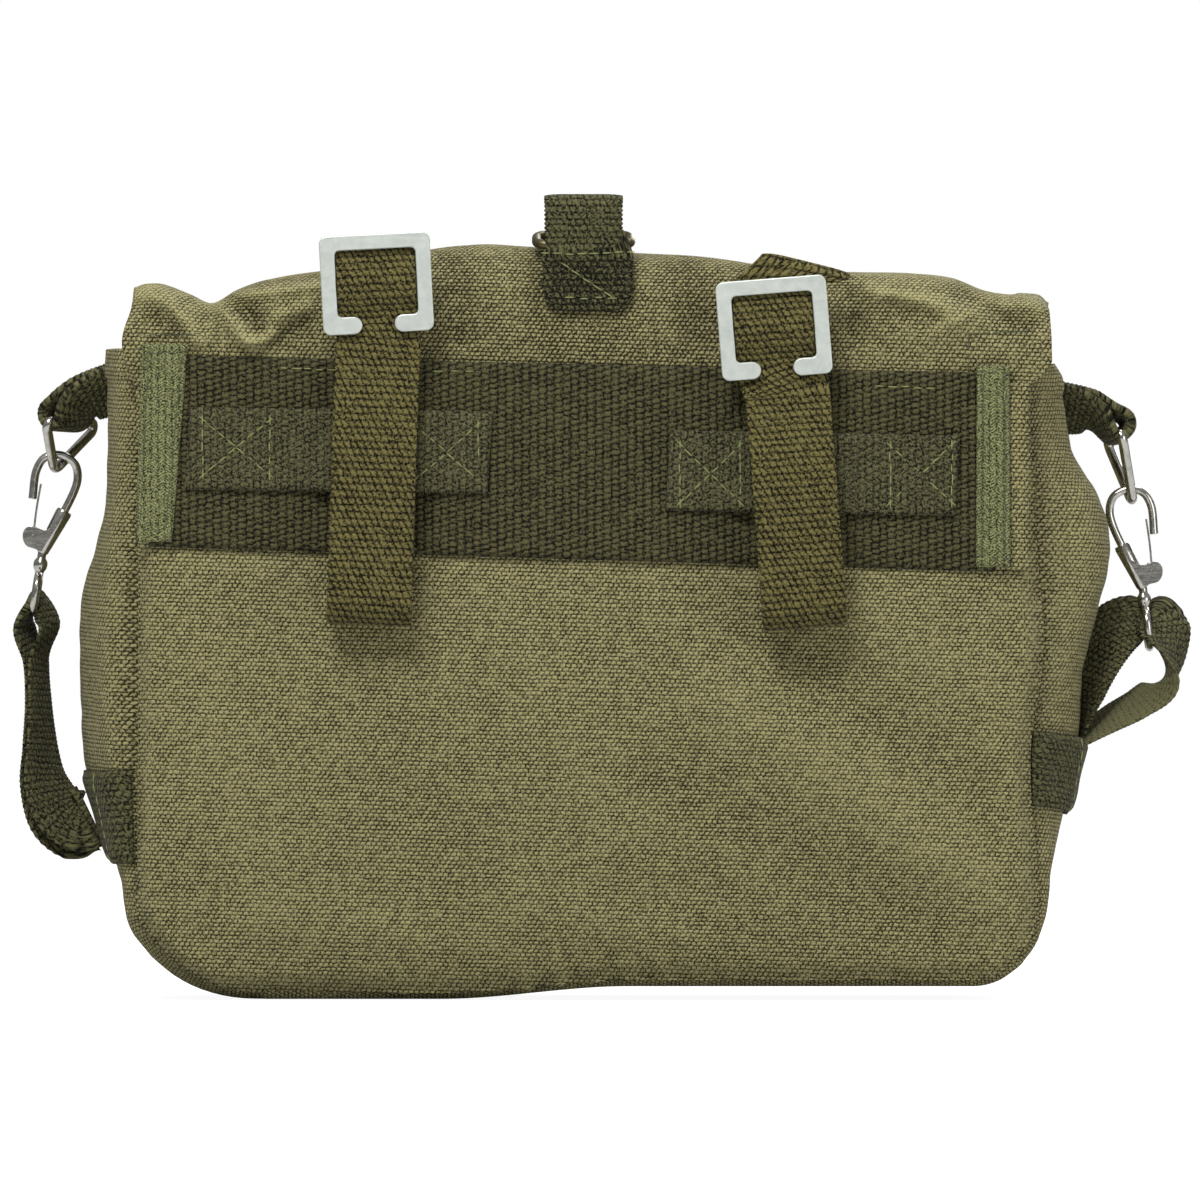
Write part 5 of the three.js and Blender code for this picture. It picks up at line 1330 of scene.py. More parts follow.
def keeper_stand_off(side):
    """How far a keeper stands off the back, with room for the strap behind it."""
    keeper = KEEPERS[side]
    centre, _, _ = strap_axis(BELT_STRAPS[side], keeper["top_start"] - keeper["height"] / 2)
    clear = STRAP_WIDTH / 2 + KEEPER_CLEAR

    def stand_off(x):
        ramp = 1 - smoothstep(np.abs(x - centre), clear, clear + KEEPER_RAMP)
        return KEEPER_BASE + KEEPER_BUMP * ramp
    return stand_off


# Belt straps and hooks

def belt_loop_rows(strap):
    """Turns of the webbing from the bottom fold up the rear run: width, y, z."""
    plate = HOOK["plate"] / 2
    behind = HOOK["y"] + plate + GAP + WEBBING / 2
    bar_y = HOOK["y"] + plate + 2 * GAP + WEBBING + HOOK["cross_bar"]
    wrap = HOOK["cross_bar"] + 2 * GAP + WEBBING / 2
    bar_z = strap["hook_z"] + HOOK["height"] - HOOK["cross_bar_down"]
    top_z = bar_z + wrap + strap["rise"]

    def rear(z):
        return float(back_depth(strap["x"], z)) - BAND_OUT - STRAP_GAP - WEBBING / 2

    def front(z):
        return float(back_depth(strap["x"], z)) - KEEPER_OUT - BELT_GAP - WEBBING / 2

    fold, low, middle, high = (STRAP_LEVELS[key] for key in ("fold", "low", "middle", "high"))
    fold_z = strap["low"] + (rear(fold) - front(fold)) / 2
    window_low = strap["hook_z"] + HOOK["lip"]
    window_top = strap["hook_z"] + HOOK["height"] - HOOK["bar"]
    edge = HOOK["y"] - STRAP_BULGE["edge"]
    reach, tuck = STRAP_BULGE["reach"], STRAP_BULGE["tuck"]
    full, narrow = STRAP_WIDTH, STRAP_IN_WINDOW
    return [
        (full, (rear(fold) + front(fold)) / 2, strap["low"] + WEBBING / 2),
        (full, rear(fold) - STRAP_FOLD_EASE, fold_z),
        (full, rear(low), low),
        (full, rear(middle), middle),
        (full, rear(high), high),
        (full, bar_y + wrap, window_top - reach),
        (full, bar_y + wrap, bar_z + strap["rise"]),
        (full, bar_y, top_z),
        (full, behind, mix(bar_z, top_z - wrap, STRAP_BEHIND_HOOK)),
        (narrow, behind, window_top - tuck),
        (narrow, edge, window_top - reach),
        (narrow, HOOK["y"] - STRAP_BULGE["out"], (window_low + window_top) / 2),
        (narrow, edge, window_low + reach),
        (narrow, behind, window_low + tuck),
        (full, behind, strap["hook_z"] - tuck),
        (full, front(middle), middle),
        (full, front(low), low),
        (full, front(fold) + STRAP_FOLD_EASE, fold_z),
    ]


def belt_strap_rows(strap, count):
    """The closed loop of a belt strap: place, width direction and width."""
    line = smooth_line(belt_loop_rows(strap), FINE_STEPS["strap"], closed=True)
    round_again = np.vstack([line, line[:1]])
    width, y, z = evenly(round_again, lengths(round_again[:, 1:]), count + 1)[:-1].T
    x, lean, on_bag = strap_axis(strap, z)
    half = STRAP_WIDTH / 2
    slope = (back_depth(x + half, z) - back_depth(x - half, z)) / STRAP_WIDTH
    width = np.minimum(width, STRAP_WIDTH)
    return np.stack([x, y, z, np.cos(lean), slope * on_bag, -np.sin(lean), width], axis=1)


def arc(centre_x, centre_z, radius, start, end, steps):
    """Points on part of a circle, between two angles in degrees."""
    turns = np.radians(np.linspace(start, end, steps + 1))
    return [(centre_x + radius * math.cos(turn), centre_z + radius * math.sin(turn)) for turn in turns]


def hook_outline():
    """The C-shaped frame from the right lip round to the left lip and back along the window."""
    side, top = HOOK["width"] / 2, HOOK["height"]
    inner, window_top = side - HOOK["bar"], top - HOOK["bar"]
    lip, end = HOOK["lip"], HOOK["lip"] / 2
    gap = HOOK["mouth"] / 2 + end
    outer, small = HOOK["radius"], HOOK["window_radius"]
    points = []
    for x, z, radius, start, turn, steps in (
            (side - outer, outer, outer, -90, 90, "corner"),
            (side - outer, top - outer, outer, 0, 90, "corner"),
            (outer - side, top - outer, outer, 90, 90, "corner"),
            (outer - side, outer, outer, 180, 90, "corner"),
            (-gap, end, end, -90, 180, "lip"),
            (small - inner, lip + small, small, 270, -90, "window"),
            (small - inner, window_top - small, small, 180, -90, "window"),
            (inner - small, window_top - small, small, 90, -90, "window"),
            (inner - small, lip + small, small, 0, -90, "window"),
            (gap, end, end, 90, 180, "lip")):
        points += arc(x, z, radius, start, start + turn, HOOK_STEPS[steps])
    return points


def turned(points, degrees, origin):
    """Points turned about the depth axis and put in place."""
    lean = math.radians(degrees)
    x, y, z = np.asarray(points).T
    spun_x = x * math.cos(lean) + z * math.sin(lean)
    spun_z = z * math.cos(lean) - x * math.sin(lean)
    return np.stack([spun_x, y, spun_z], axis=1) + np.asarray(origin, float)


def hook_shells():
    """The frame, the cross bar behind it and the bar's two legs."""
    plate = prism(hook_outline(), -HOOK["plate"] / 2, HOOK["plate"] / 2)
    bar_z = HOOK["height"] - HOOK["cross_bar_down"]
    bar_y = HOOK["plate"] / 2 + 2 * GAP + WEBBING + HOOK["cross_bar"]
    outer = HOOK["width"] / 2 - HOOK["leg_inset"]
    bar = tube([(-outer, bar_y, bar_z), (0, bar_y, bar_z), (outer, bar_y, bar_z)], HOOK["cross_bar"], False)
    shells = [plate, bar]
    for side in (-1, 1):
        ends = sorted((side * outer, side * (outer - HOOK["leg_width"])))
        low, high = bar_z - HOOK["cross_bar"], bar_z + HOOK["cross_bar"]
        leg = [(ends[0], low), (ends[1], low), (ends[1], high), (ends[0], high)]
        shells.append(prism(leg, HOOK["leg_start"], bar_y))
    return gathered(shells)


# Hanger tab and rings

def rounded_loop(half_width, half_height, corner, steps=6):
    """A box with round corners, as a closed line."""
    points = []
    for quarter, (u, v) in enumerate(((1, 1), (-1, 1), (-1, -1), (1, -1))):
        turn = quarter * 90
        points += arc(u * (half_width - corner), v * (half_height - corner), corner, turn, turn + 90, steps)
    return np.asarray(points)


def tab_depths():
    """Depths of the hanger's front and rear runs."""
    front = float(back_depth(TAB["x"], TAB["sewn"])) - GAP - WEBBING / 2 + TAB["set_back"]
    return front, front + 2 * (TAB_RING["wire"] + GAP + WEBBING / 2)


def hanger_rows():
    """The hanger from its patch over the top and down behind: place, width direction and width."""
    fold = TAB_RING["wire"] + GAP + WEBBING / 2
    front, rear = tab_depths()
    line = [(float(back_depth(TAB["x"], z)) - GAP - WEBBING / 2, z) for z in (TAB["low"], TAB["middle"])]
    line += [
        (front, TAB["sewn"] + TAB["past_sewn"]),
        (front, TAB_RING["z"] + TAB["over_ring"]),
        (front + TAB["bow"], TAB["top"] - fold),
        ((front + rear) / 2, TAB["top"] - WEBBING / 2),
        (rear - TAB["bow"], TAB["top"] - fold),
        (rear, TAB_RING["z"] + TAB["over_ring"]),
        (rear + TAB["rear_bow"], TAB["rear_end"]),
    ]
    fine = smooth_line(line, FINE_STEPS["hanger"])
    fine = evenly(fine, lengths(fine), TAB["steps"])
    y, z = fine.T
    in_front = np.arange(len(z)) < np.argmax(z)
    step_low, step_top = TAB["step"]
    patch = in_front * (1 - smoothstep(z, TAB["sewn"] + step_low, TAB["sewn"] + step_top))
    corner = TAB["corner"]
    near_end = np.maximum(corner - lengths(fine), 0)
    width = TAB["width"] + TAB["wider"] * patch - 2 * (corner - np.sqrt(corner**2 - near_end**2))
    flat = np.zeros(len(z))
    return np.stack([TAB["x"] + TAB["shift"] * patch, y, z, flat + 1, flat, flat, width], axis=1)


def tab_ring_points():
    """The hanger's ring as a closed line, and the direction it faces."""
    front, rear = tab_depths()
    tilt = math.radians(TAB_RING["tilt"])
    loop = rounded_loop(TAB_RING["half_width"], TAB_RING["half_depth"], TAB_RING["corner"])
    back = loop[:, 1] + TAB_RING["half_depth"]
    y = (front + rear) / 2 + back * math.cos(tilt)
    z = TAB_RING["z"] - TAB_RING["hang"] + back * math.sin(tilt)
    points = np.stack([TAB["x"] + loop[:, 0], y, z], axis=1)
    return points, np.array([0.0, -math.sin(tilt), math.cos(tilt)])


def round_bend(start, corner, end, radius, steps):
    """Points round a corner, on a circle that touches both of its arms."""
    backwards = unit(start - corner)
    onwards = unit(end - corner)
    half_angle = math.acos(float(np.dot(backwards, onwards))) / 2
    centre = corner + unit(backwards + onwards) * radius / math.sin(half_angle)
    outward = unit(corner + backwards * radius / math.tan(half_angle) - centre)
    turns = np.linspace(0, math.pi - 2 * half_angle, steps + 1)
    return [centre + radius * (outward * math.cos(turn) - backwards * math.sin(turn)) for turn in turns]


def side_ring_points(side):
    """A three-cornered ring as a closed line, and the direction it faces."""
    corners = [np.asarray(SIDE_LOOPS[side][key], float) for key in ("bar_front", "bar_rear", "apex")]
    points = []
    for index, corner in enumerate(corners):
        onward = corners[(index + 1) % len(corners)]
        points += round_bend(corners[index - 1], corner, onward, RING_BEND, RING_BEND_STEPS)
    plane = unit(np.cross(corners[1] - corners[0], corners[2] - corners[0]))
    return np.asarray(points), plane


def strap_line(rows, count):
    """Rows of a strap made smooth and even: place, width direction and width."""
    rows = np.asarray(rows, float)
    across = unit(rows[:, 3:6]) * rows[:, 6:7]
    places = smooth_line(rows[:, :3], FINE_STEPS["strap"])
    widths = smooth_line(across, FINE_STEPS["strap"])
    even = evenly(np.hstack([places, widths]), lengths(places), count)
    width = np.linalg.norm(even[:, 3:6], axis=1, keepdims=True)
    return np.hstack([even[:, :3], even[:, 3:6] / width, width])


def side_loop_rows(side):
    """A loop from the bag round the ring's bar and back, pinched behind the bar."""
    loop = SIDE_LOOPS[side]
    front, rear = (np.asarray(loop[key], float) for key in ("bar_front", "bar_rear"))
    bar = mix(front, rear, loop["hold"]) + np.array([0.0, 0.0, loop["rise"]])
    bar_across = unit(rear - front)
    root = np.asarray(loop["root"], float)
    root_across = unit(np.asarray(loop["root_across"], float))
    inward = root - bar
    inward = unit(inward - bar_across * np.dot(inward, bar_across))
    up = unit(np.cross(inward, bar_across))
    if up[2] < 0:
        up = -up
    wrap = RING_WIRE + GAP + WEBBING * LOOP_BULK / 2
    apart = Y_AXIS * LOOP_SPREAD
    pinch = bar + inward * LOOP_PINCH + np.array([0.0, 0.0, loop["arch"]])
    pinch_across = unit(mix(bar_across, root_across, LOOP_TWIST))
    pinch_apart = unit(mix(up, Y_AXIS, LOOP_TWIST)) * LOOP_SPREAD
    rows = [(*(root + apart), *root_across, LOOP_WIDTH), (*(pinch + pinch_apart), *pinch_across, LOOP_WIDTH)]
    for degrees in (90, 45, 0, -45, -90):
        turn = math.radians(degrees)
        at = bar - inward * wrap * math.cos(turn) + up * wrap * math.sin(turn)
        rows.append((*at, *bar_across, LOOP_WIDTH))
    rows += [(*(pinch - pinch_apart), *pinch_across, LOOP_WIDTH), (*(root - apart), *root_across, LOOP_WIDTH)]
    return strap_line(rows, LOOP_STEPS)


# Snap clips

def clip_line(points, sign):
    """Places in the clip's plane, mirrored for its side."""
    return np.asarray([(sign * a, 0.0, b) for a, b in points])


def clip_sleeve_shells(sign):
    """The sleeve round the bow's foot and the two cheeks that hold the gate."""
    top, low = clip_line((CLIP_SLEEVE["top"], CLIP_SLEEVE["low"]), sign)
    share = np.array(CLIP_SLEEVE["shares"])
    radius = mix(CLIP_SLEEVE["top_radius"], CLIP_SLEEVE["low_radius"], share)
    radius[[0, -1]] -= CLIP_SLEEVE["end"]
    shells = [tube(mix(top, low, share[:, None]), radius, False, 24)]
    cheek = [(sign * a, b) for a, b in smooth_line(CLIP_CHEEK_OUTLINE, CLIP_CHEEK["steps"])]
    for low_y in (CLIP_CHEEK["inner"], -CLIP_CHEEK["outer"]):
        shells.append(prism(cheek, low_y, low_y + CLIP_CHEEK["outer"] - CLIP_CHEEK["inner"]))
    return gathered(shells)


def clip_gate_shells(sign):
    """The sprung leaf with its barrel and pin."""
    a, half = sign * CLIP_GATE["a"], CLIP_GATE["width"] / 2
    leaf = CLIP_GATE["leaf"] / 2
    rise = np.linspace(CLIP_GATE["pivot"], CLIP_GATE["top"], CLIP_GATE["steps"])
    bow = CLIP_GATE["bow"] * np.sin(np.linspace(0, math.pi, CLIP_GATE["steps"])) * sign
    line = [(a - leaf + b, z) for b, z in zip(bow, rise)]
    line += [(a + leaf + b, z) for b, z in zip(bow[::-1], rise[::-1])]
    shells = [prism(line, -half, half)]
    reach = CLIP_CHEEK["outer"] + CLIP_GATE["pin_end"]
    for half_length, radius, sides in ((half, CLIP_GATE["barrel"], 20), (reach, CLIP_GATE["pin"], 16)):
        ends = [(a, -half_length, CLIP_GATE["pivot"]), (a, half_length, CLIP_GATE["pivot"])]
        shells.append(tube(ends, radius, False, sides, X_AXIS))
    return gathered(shells)


def clip_eye_shells():
    """The eye for the strap and its turned neck."""
    middle = (CLIP_EYE["top"] + CLIP_EYE["low"]) / 2
    half = (CLIP_EYE["top"] - CLIP_EYE["low"]) / 2
    loop = rounded_loop(CLIP_EYE["half_width"], half, CLIP_EYE["radius"], 8)
    points = np.stack([np.zeros(len(loop)), loop[:, 0], middle + loop[:, 1]], axis=1)
    ring = tube(points, CLIP_EYE["wire"], True, 16, X_AXIS)
    neck_z = np.linspace(CLIP_EYE["neck_top"], CLIP_EYE["top"], len(CLIP_EYE["neck"]))
    neck = tube([(0, 0, z) for z in neck_z], CLIP_EYE["neck"], False, 20)
    return gathered([ring, neck])


def lower_tab_grid(side):
    """The outer face of a lower tab over the gusset, and its UV map."""
    tab = LOWER_TABS[side]
    u, v = np.meshgrid(*(np.linspace(0, 1, steps) for steps in LOWER_TAB["steps"]))
    height = mix(tab["low"], tab["top"], v) + tab["slope"] * u
    base = gusset_point(side, height, mix(tab["near"], tab["far"], u))
    across, up = u * LOWER_TAB["wide"], v * LOWER_TAB["tall"]
    rim = np.minimum(np.minimum(across, LOWER_TAB["wide"] - across), np.minimum(up, LOWER_TAB["tall"] - up))
    thick = LOWER_TAB["thickness"] + GAP - LOWER_TAB["rim_drop"] * bell(rim, LOWER_TAB["rim_width"])
    thick = thick + unevenness(TAB_UNEVEN, across, up)
    return base + outward_normals(base) * thick[..., None], np.stack([across, up], axis=-1)


# Stitches

def stitch_tree():
    """Short threads laid end to end along lines."""
    name = "stitch_runs"
    if name in bpy.data.node_groups:
        return bpy.data.node_groups[name]
    tree = bpy.data.node_groups.new(name, "GeometryNodeTree")
    tree.interface.new_socket("Geometry", in_out="INPUT", socket_type="NodeSocketGeometry")
    for label, value in (("Pitch", 0.0034), ("Length", 0.0028), ("Radius", 0.0002), ("Wander", 0.0001)):
        socket = tree.interface.new_socket(label, in_out="INPUT", socket_type="NodeSocketFloat")
        socket.default_value = value
    tree.interface.new_socket("Thread", in_out="INPUT", socket_type="NodeSocketMaterial")
    tree.interface.new_socket("Geometry", in_out="OUTPUT", socket_type="NodeSocketGeometry")
    given = tree.nodes.new("NodeGroupInput")
    result = tree.nodes.new("NodeGroupOutput")
    curve = place(tree, "GeometryNodeMeshToCurve", {"Mesh": given.outputs["Geometry"]})
    dots = place(tree, "GeometryNodeCurveToPoints", {
        "Curve": curve.outputs[0], "Length": given.outputs["Pitch"]}, mode="LENGTH")
    reach = calc(tree, "MULTIPLY", given.outputs["Wander"], -1.0)
    stray = place(tree, "FunctionNodeRandomValue", {
        0: (-1.0, -1.0, -1.0), 1: (1.0, 1.0, 1.0), "Seed": 7}, data_type="FLOAT_VECTOR")
    step = place(tree, "ShaderNodeVectorMath", {0: stray.outputs[0], "Scale": reach}, operation="SCALE")
    moved = place(tree, "GeometryNodeSetPosition", {
        "Geometry": dots.outputs["Points"], "Offset": step.outputs[0]})
    thread = place(tree, "GeometryNodeMeshUVSphere", {"Segments": 6, "Rings": 5, "Radius": 1.0})
    slack = place(tree, "FunctionNodeRandomValue", {2: 0.8, 3: 1.15, "Seed": 11}, data_type="FLOAT")
    half = calc(tree, "MULTIPLY", given.outputs["Length"], 0.5)
    size = place(tree, "ShaderNodeCombineXYZ", {
        0: given.outputs["Radius"], 1: given.outputs["Radius"],
        2: calc(tree, "MULTIPLY", half, slack.outputs[1])})
    aim = place(tree, "FunctionNodeAlignRotationToVector", {"Vector": dots.outputs["Tangent"]}, axis="Z")
    laid = place(tree, "GeometryNodeInstanceOnPoints", {
        "Points": moved.outputs[0], "Instance": thread.outputs["Mesh"], "Rotation": aim.outputs[0],
        "Scale": size.outputs[0]})
    real = place(tree, "GeometryNodeRealizeInstances", {0: laid.outputs[0]})
    dressed = place(tree, "GeometryNodeSetMaterial", {
        "Geometry": real.outputs[0], "Material": given.outputs["Thread"]})
    tree.links.new(dressed.outputs[0], result.inputs[0])
    return tree


def stitches(name, runs, material, pitch, radius, length_share=0.86, wander=0.0002):
    """One mesh of stitches along runs of points in millimetres."""
    points = []
    edges = []
    for run in runs:
        start = len(points)
        points += [tuple(float(part) * MM for part in point) for point in run]
        edges += [(start + i, start + i + 1) for i in range(len(run) - 1)]
    path = bpy.data.meshes.new(name + "_path")
    path.from_pydata(points, edges, [])
    holder = added(name + "_path", path)
    sewing = holder.modifiers.new("stitches", "NODES")
    sewing.node_group = stitch_tree()
    values = {
        "Pitch": pitch, "Length": pitch * length_share, "Radius": radius, "Wander": wander,
        "Thread": material,
    }
    for item in sewing.node_group.interface.items_tree:
        if item.in_out == "INPUT" and item.name in values:
            sewing[item.identifier] = values[item.name]
    depsgraph = bpy.context.evaluated_depsgraph_get()
    mesh = bpy.data.meshes.new_from_object(holder.evaluated_get(depsgraph))
    mesh.name = name
    bpy.data.objects.remove(holder)
    bpy.data.meshes.remove(path)
    mesh.polygons.foreach_set("use_smooth", [True] * len(mesh.polygons))
    return show(mesh, material, (), BAG)


def run_on(surface, corners, piece):
    """A run through corners in x and z, laid on a surface of the back."""
    run = []
    for (from_x, from_z), (to_x, to_z) in zip(corners[:-1], corners[1:]):
        for t in np.linspace(0, 1, STITCH_STEPS[piece]):
            x, z = mix(from_x, to_x, t), mix(from_z, to_z, t)
            run.append((x, float(surface(x, z)) - STITCH_LIFT[piece], z))
    return run


def from_pixels(across, down):
    """A place given in pixels, as x and z on the back."""
    return (across - MIDDLE_PIXEL) * PIXEL, (GROUND_PIXEL - down) * PIXEL


def sewn(surface, lines, piece):
    """Runs along lines given in pixels."""
    return [run_on(surface, [from_pixels(*point) for point in line], piece) for line in lines]


def cross_box(left, low, right, top):
    """Lines of a sewn box with a cross in it."""
    return (
        ((left, low), (left, top)), ((right, low), (right, top)),
        ((left, top), (right, low)), ((left, low), (right, top)),
    )


def keeper_surface(side):
    stand_off = keeper_stand_off(side)
    return lambda x, z: back_depth(x, z) - stand_off(x) - WEBBING


def level_surface(height):
    return lambda x, z: back_depth(x, z) - height


def flap_surface(x, z):
    return back_depth(x, z) - flap_out(x, z)


def tab_surface(x, z):
    rows = hanger_rows()
    front = rows[:np.argmax(rows[:, 2])]
    return np.interp(z, front[:, 2], front[:, 1]) - WEBBING / 2


def light_runs():
    """Runs of the light thread."""
    runs = []
    for side, boxes in KEEPER_BOXES.items():
        for box in boxes:
            runs += sewn(keeper_surface(side), cross_box(*box), "keeper")
    runs += sewn(level_surface(BAND_OUT), BAND_LINES, "band")
    runs += sewn(tab_surface, TAB_LINES, "tab")
    ends = LOWER_TAB_LINE["ends"]
    for side in SIDES:
        grid, _ = lower_tab_grid(side)
        lift = np.array([LOWER_TAB_LINE["out"] * SIGN[side], -LOWER_TAB_LINE["back"], 0.0])
        runs.append(grid[ends:-ends, LOWER_TAB_LINE[side]] + lift)
    return runs


def dark_runs():
    """Runs of the dark green thread."""
    tape_surface = level_surface(BAND_OUT + GAP + TAPE)
    return sewn(flap_surface, FLAP_LINES, "flap") + sewn(tape_surface, TAPE_LINES, "tape")


# Operators: one for each piece or group of like pieces

class BagStage(bpy.types.Operator):
    """Floor, light and camera"""

    bl_idname = "bag.stage"
    bl_label = "Stage"

    def floor(self):
        turns = np.linspace(0, 2 * math.pi, FLOOR["sides"], endpoint=False)
        radius = FLOOR["radius"]
        points = [(radius * math.cos(turn), radius * math.sin(turn), FLOOR["z"]) for turn in turns]
        mesh = new_mesh("floor", points, [tuple(range(len(points)))])
        material, tree, shader = new_material("pale_floor")
        shader.inputs["Base Color"].default_value = rgba([FLOOR["grey"]] * 3)
        shader.inputs["Roughness"].default_value = FLOOR["rough"]
        seen = place(tree, "ShaderNodeLightPath").outputs["Is Camera Ray"]
        white = place(tree, "ShaderNodeEmission", {"Color": WHITE, "Strength": FLOOR["glow"]})
        mostly = calc(tree, "MULTIPLY", seen, FLOOR["seen"])
        either = place(tree, "ShaderNodeMixShader", {0: mostly, 1: shader.outputs[0], 2: white.outputs[0]})
        tree.links.new(either.outputs[0], tree.nodes["Material Output"].inputs["Surface"])
        mesh.materials.append(material)
        floor = added("floor", mesh)

    def lamp(self, name, at, size, power):
        data = bpy.data.lights.new(name, "AREA")
        data.shape = "DISK"
        data.size = size
        data.energy = power
        lamp = added(name, data)
        lamp.location = at
        lamp.rotation_euler = (Vector(LAMP_AIM) - Vector(at)).to_track_quat("-Z", "Y").to_euler()

    def surroundings(self):
        world = bpy.data.worlds.new("studio")
        world.use_nodes = True
        tree = world.node_tree
        tree.nodes.clear()
        seen = place(tree, "ShaderNodeLightPath").outputs["Is Camera Ray"]
        direction = place(tree, "ShaderNodeTexCoord").outputs["Generated"]
        looking = place(tree, "ShaderNodeSeparateXYZ", {0: direction})
        dome = place(tree, "ShaderNodeMapRange", {"Value": looking.outputs[2], **SKY})
        soft = place(tree, "ShaderNodeBackground", {"Color": WHITE, "Strength": dome.outputs[0]})
        white = place(tree, "ShaderNodeBackground", {"Color": WHITE, "Strength": 1.0})
        either = place(tree, "ShaderNodeMixShader", {0: seen, 1: soft.outputs[0], 2: white.outputs[0]})
        place(tree, "ShaderNodeOutputWorld", {"Surface": either.outputs[0]})
        bpy.context.scene.world = world

    def camera(self):
        data = bpy.data.cameras.new("camera")
        data.sensor_width = VIEW["sensor"]
        data.lens = VIEW["sensor"] * VIEW["distance"] / VIEW["width"]
        camera = added("camera", data)
        camera.location = (VIEW["x"], VIEW["plane"] - VIEW["distance"], VIEW["z"])
        camera.rotation_euler = (math.pi / 2, 0, 0)
        bpy.context.scene.camera = camera

    def execute(self, context):
        context.scene.view_settings.view_transform = "Standard"
        context.scene.view_settings.look = "None"
        self.floor()
        self.surroundings()
        for name, lamp in LAMPS.items():
            self.lamp(name, **lamp)
        self.camera()
        return {"FINISHED"}


class BagBody(bpy.types.Operator):
    """Canvas walls of the body"""

    bl_idname = "bag.body"
    bl_label = "Body"

    def execute(self, context):
        canvas = finishes()["canvas"]
        columns = context.scene.bag_sizes.cloth_step
        make_back_panel(canvas, columns)
        make_front_panel(canvas, columns)
        make_gusset(canvas)
        return {"FINISHED"}


class BagFlap(bpy.types.Operator):
    """The flap folded over the top"""

    bl_idname = "bag.flap"
    bl_label = "Flap"

    def execute(self, context):
        canvas = finishes()["canvas"]
        make_flap(canvas, context.scene.bag_sizes.cloth_step)
        make_flap_lap(canvas)
        return {"FINISHED"}


class BagBand(bpy.types.Operator):
    """Band across the back with its end tapes and keepers"""

    bl_idname = "bag.band"
    bl_label = "Band, tapes and keepers"

    def execute(self, context):
        looks = finishes()
        patch_piece("ribbed_band", band_corners, lambda x: GAP, WEBBING, columns=150, rows=36,
                    material=looks["band"], node="back_band", sway=0.15)
        for side in SIDES:
            patch_piece(f"tape_{side}", tape_corners(side), lambda x: BAND_OUT + GAP, TAPE,
                        columns=14, rows=60, material=looks["tape"], node=f"end_tape_{side}",
                        sway=0.2)
            patch_piece(f"keeper_webbing_{side}", keeper_corners(side), keeper_stand_off(side), WEBBING,
                        columns=90, rows=24, material=looks["nap"], node=f"keeper_{side}",
                        sway=0.2)
        return {"FINISHED"}


class BagBeltStraps(bpy.types.Operator):
    """The two belt straps, closed loops behind the keepers"""

    bl_idname = "bag.belt_straps"
    bl_label = "Belt straps"

    def slant_top_fold(self, mesh, strap):
        """Draws the fold above the hook sideways, so that it slants down to the right."""
        points = np.empty(len(mesh.vertices) * 3)
        mesh.vertices.foreach_get("co", points)
        points = points.reshape(-1, 3) / MM
        fold = STRAP_TOP_FOLD
        height = points[:, 2] - strap["hook_z"]
        share = smoothstep(height, fold["start"], fold["end"])
        off_axis = points[:, 0] - strap["hook_x"] - height * math.tan(math.radians(strap["tilt"]))
        points[:, 0] += fold["shift"] * share
        points[:, 2] -= math.tan(math.radians(fold["tilt"])) * off_axis * share
        mesh.vertices.foreach_set("co", (points * MM).ravel())
        mesh.update()

    def execute(self, context):
        strap_look = finishes()["strap"]
        scallop = context.scene.bag_sizes.scallop / MM
        for side in SIDES:
            rows = belt_strap_rows(BELT_STRAPS[side], STRAP_STEPS)
            piece = webbing_piece(f"belt_webbing_{side}", rows, WEBBING, True, strap_look,
                                  [f"belt_strap_{side}"],
                                  scallop * SCALLOP_SHARE["belt"], columns=14)
            if BELT_STRAPS[side]["rise"]:
                self.slant_top_fold(piece.data, BELT_STRAPS[side])
        return {"FINISHED"}


class BagHooks(bpy.types.Operator):
    """The two C-shaped belt hooks"""

    bl_idname = "bag.hooks"
    bl_label = "Belt hooks"

    def execute(self, context):
        look = finishes()["hook"]
        points, faces = hook_shells()
        for side in SIDES:
            strap = BELT_STRAPS[side]
            placed = turned(points, strap["tilt"], (strap["hook_x"], HOOK["y"], strap["hook_z"]))
            metal_piece(f"hook_frame_{side}", placed, faces, look, [f"belt_hook_{side}"],
                        BAG, HOOK["bevel"])
        return {"FINISHED"}


class BagHanger(bpy.types.Operator):
    """Hanger tab and its ring"""

    bl_idname = "bag.hanger"
    bl_label = "Hanger tab and ring"

    def execute(self, context):
        looks = finishes()
        scallop = context.scene.bag_sizes.scallop / MM
        rows = hanger_rows()
        # The hanger is painted darker below its sewn line
        below, above = TAB["sewn"] - TAB_DARKENED["below"], TAB["sewn"] + TAB_DARKENED["above"]
        painted_tone = TAB_DARKENED["wear"] * (1 - smoothstep(rows[:, 2], below, above))
        webbing_piece("hanger_webbing", rows, WEBBING, False, looks["dark"], ["hanger_tab"],
                      scallop, columns=14, wear=painted_tone)
        points, plane = tab_ring_points()
        ring, faces = tube(points, TAB_RING["wire"], True, RING_SIDES, plane)
        metal_piece("hanger_ring", ring, faces, looks["bronze"], ["tab_ring"])
        return {"FINISHED"}


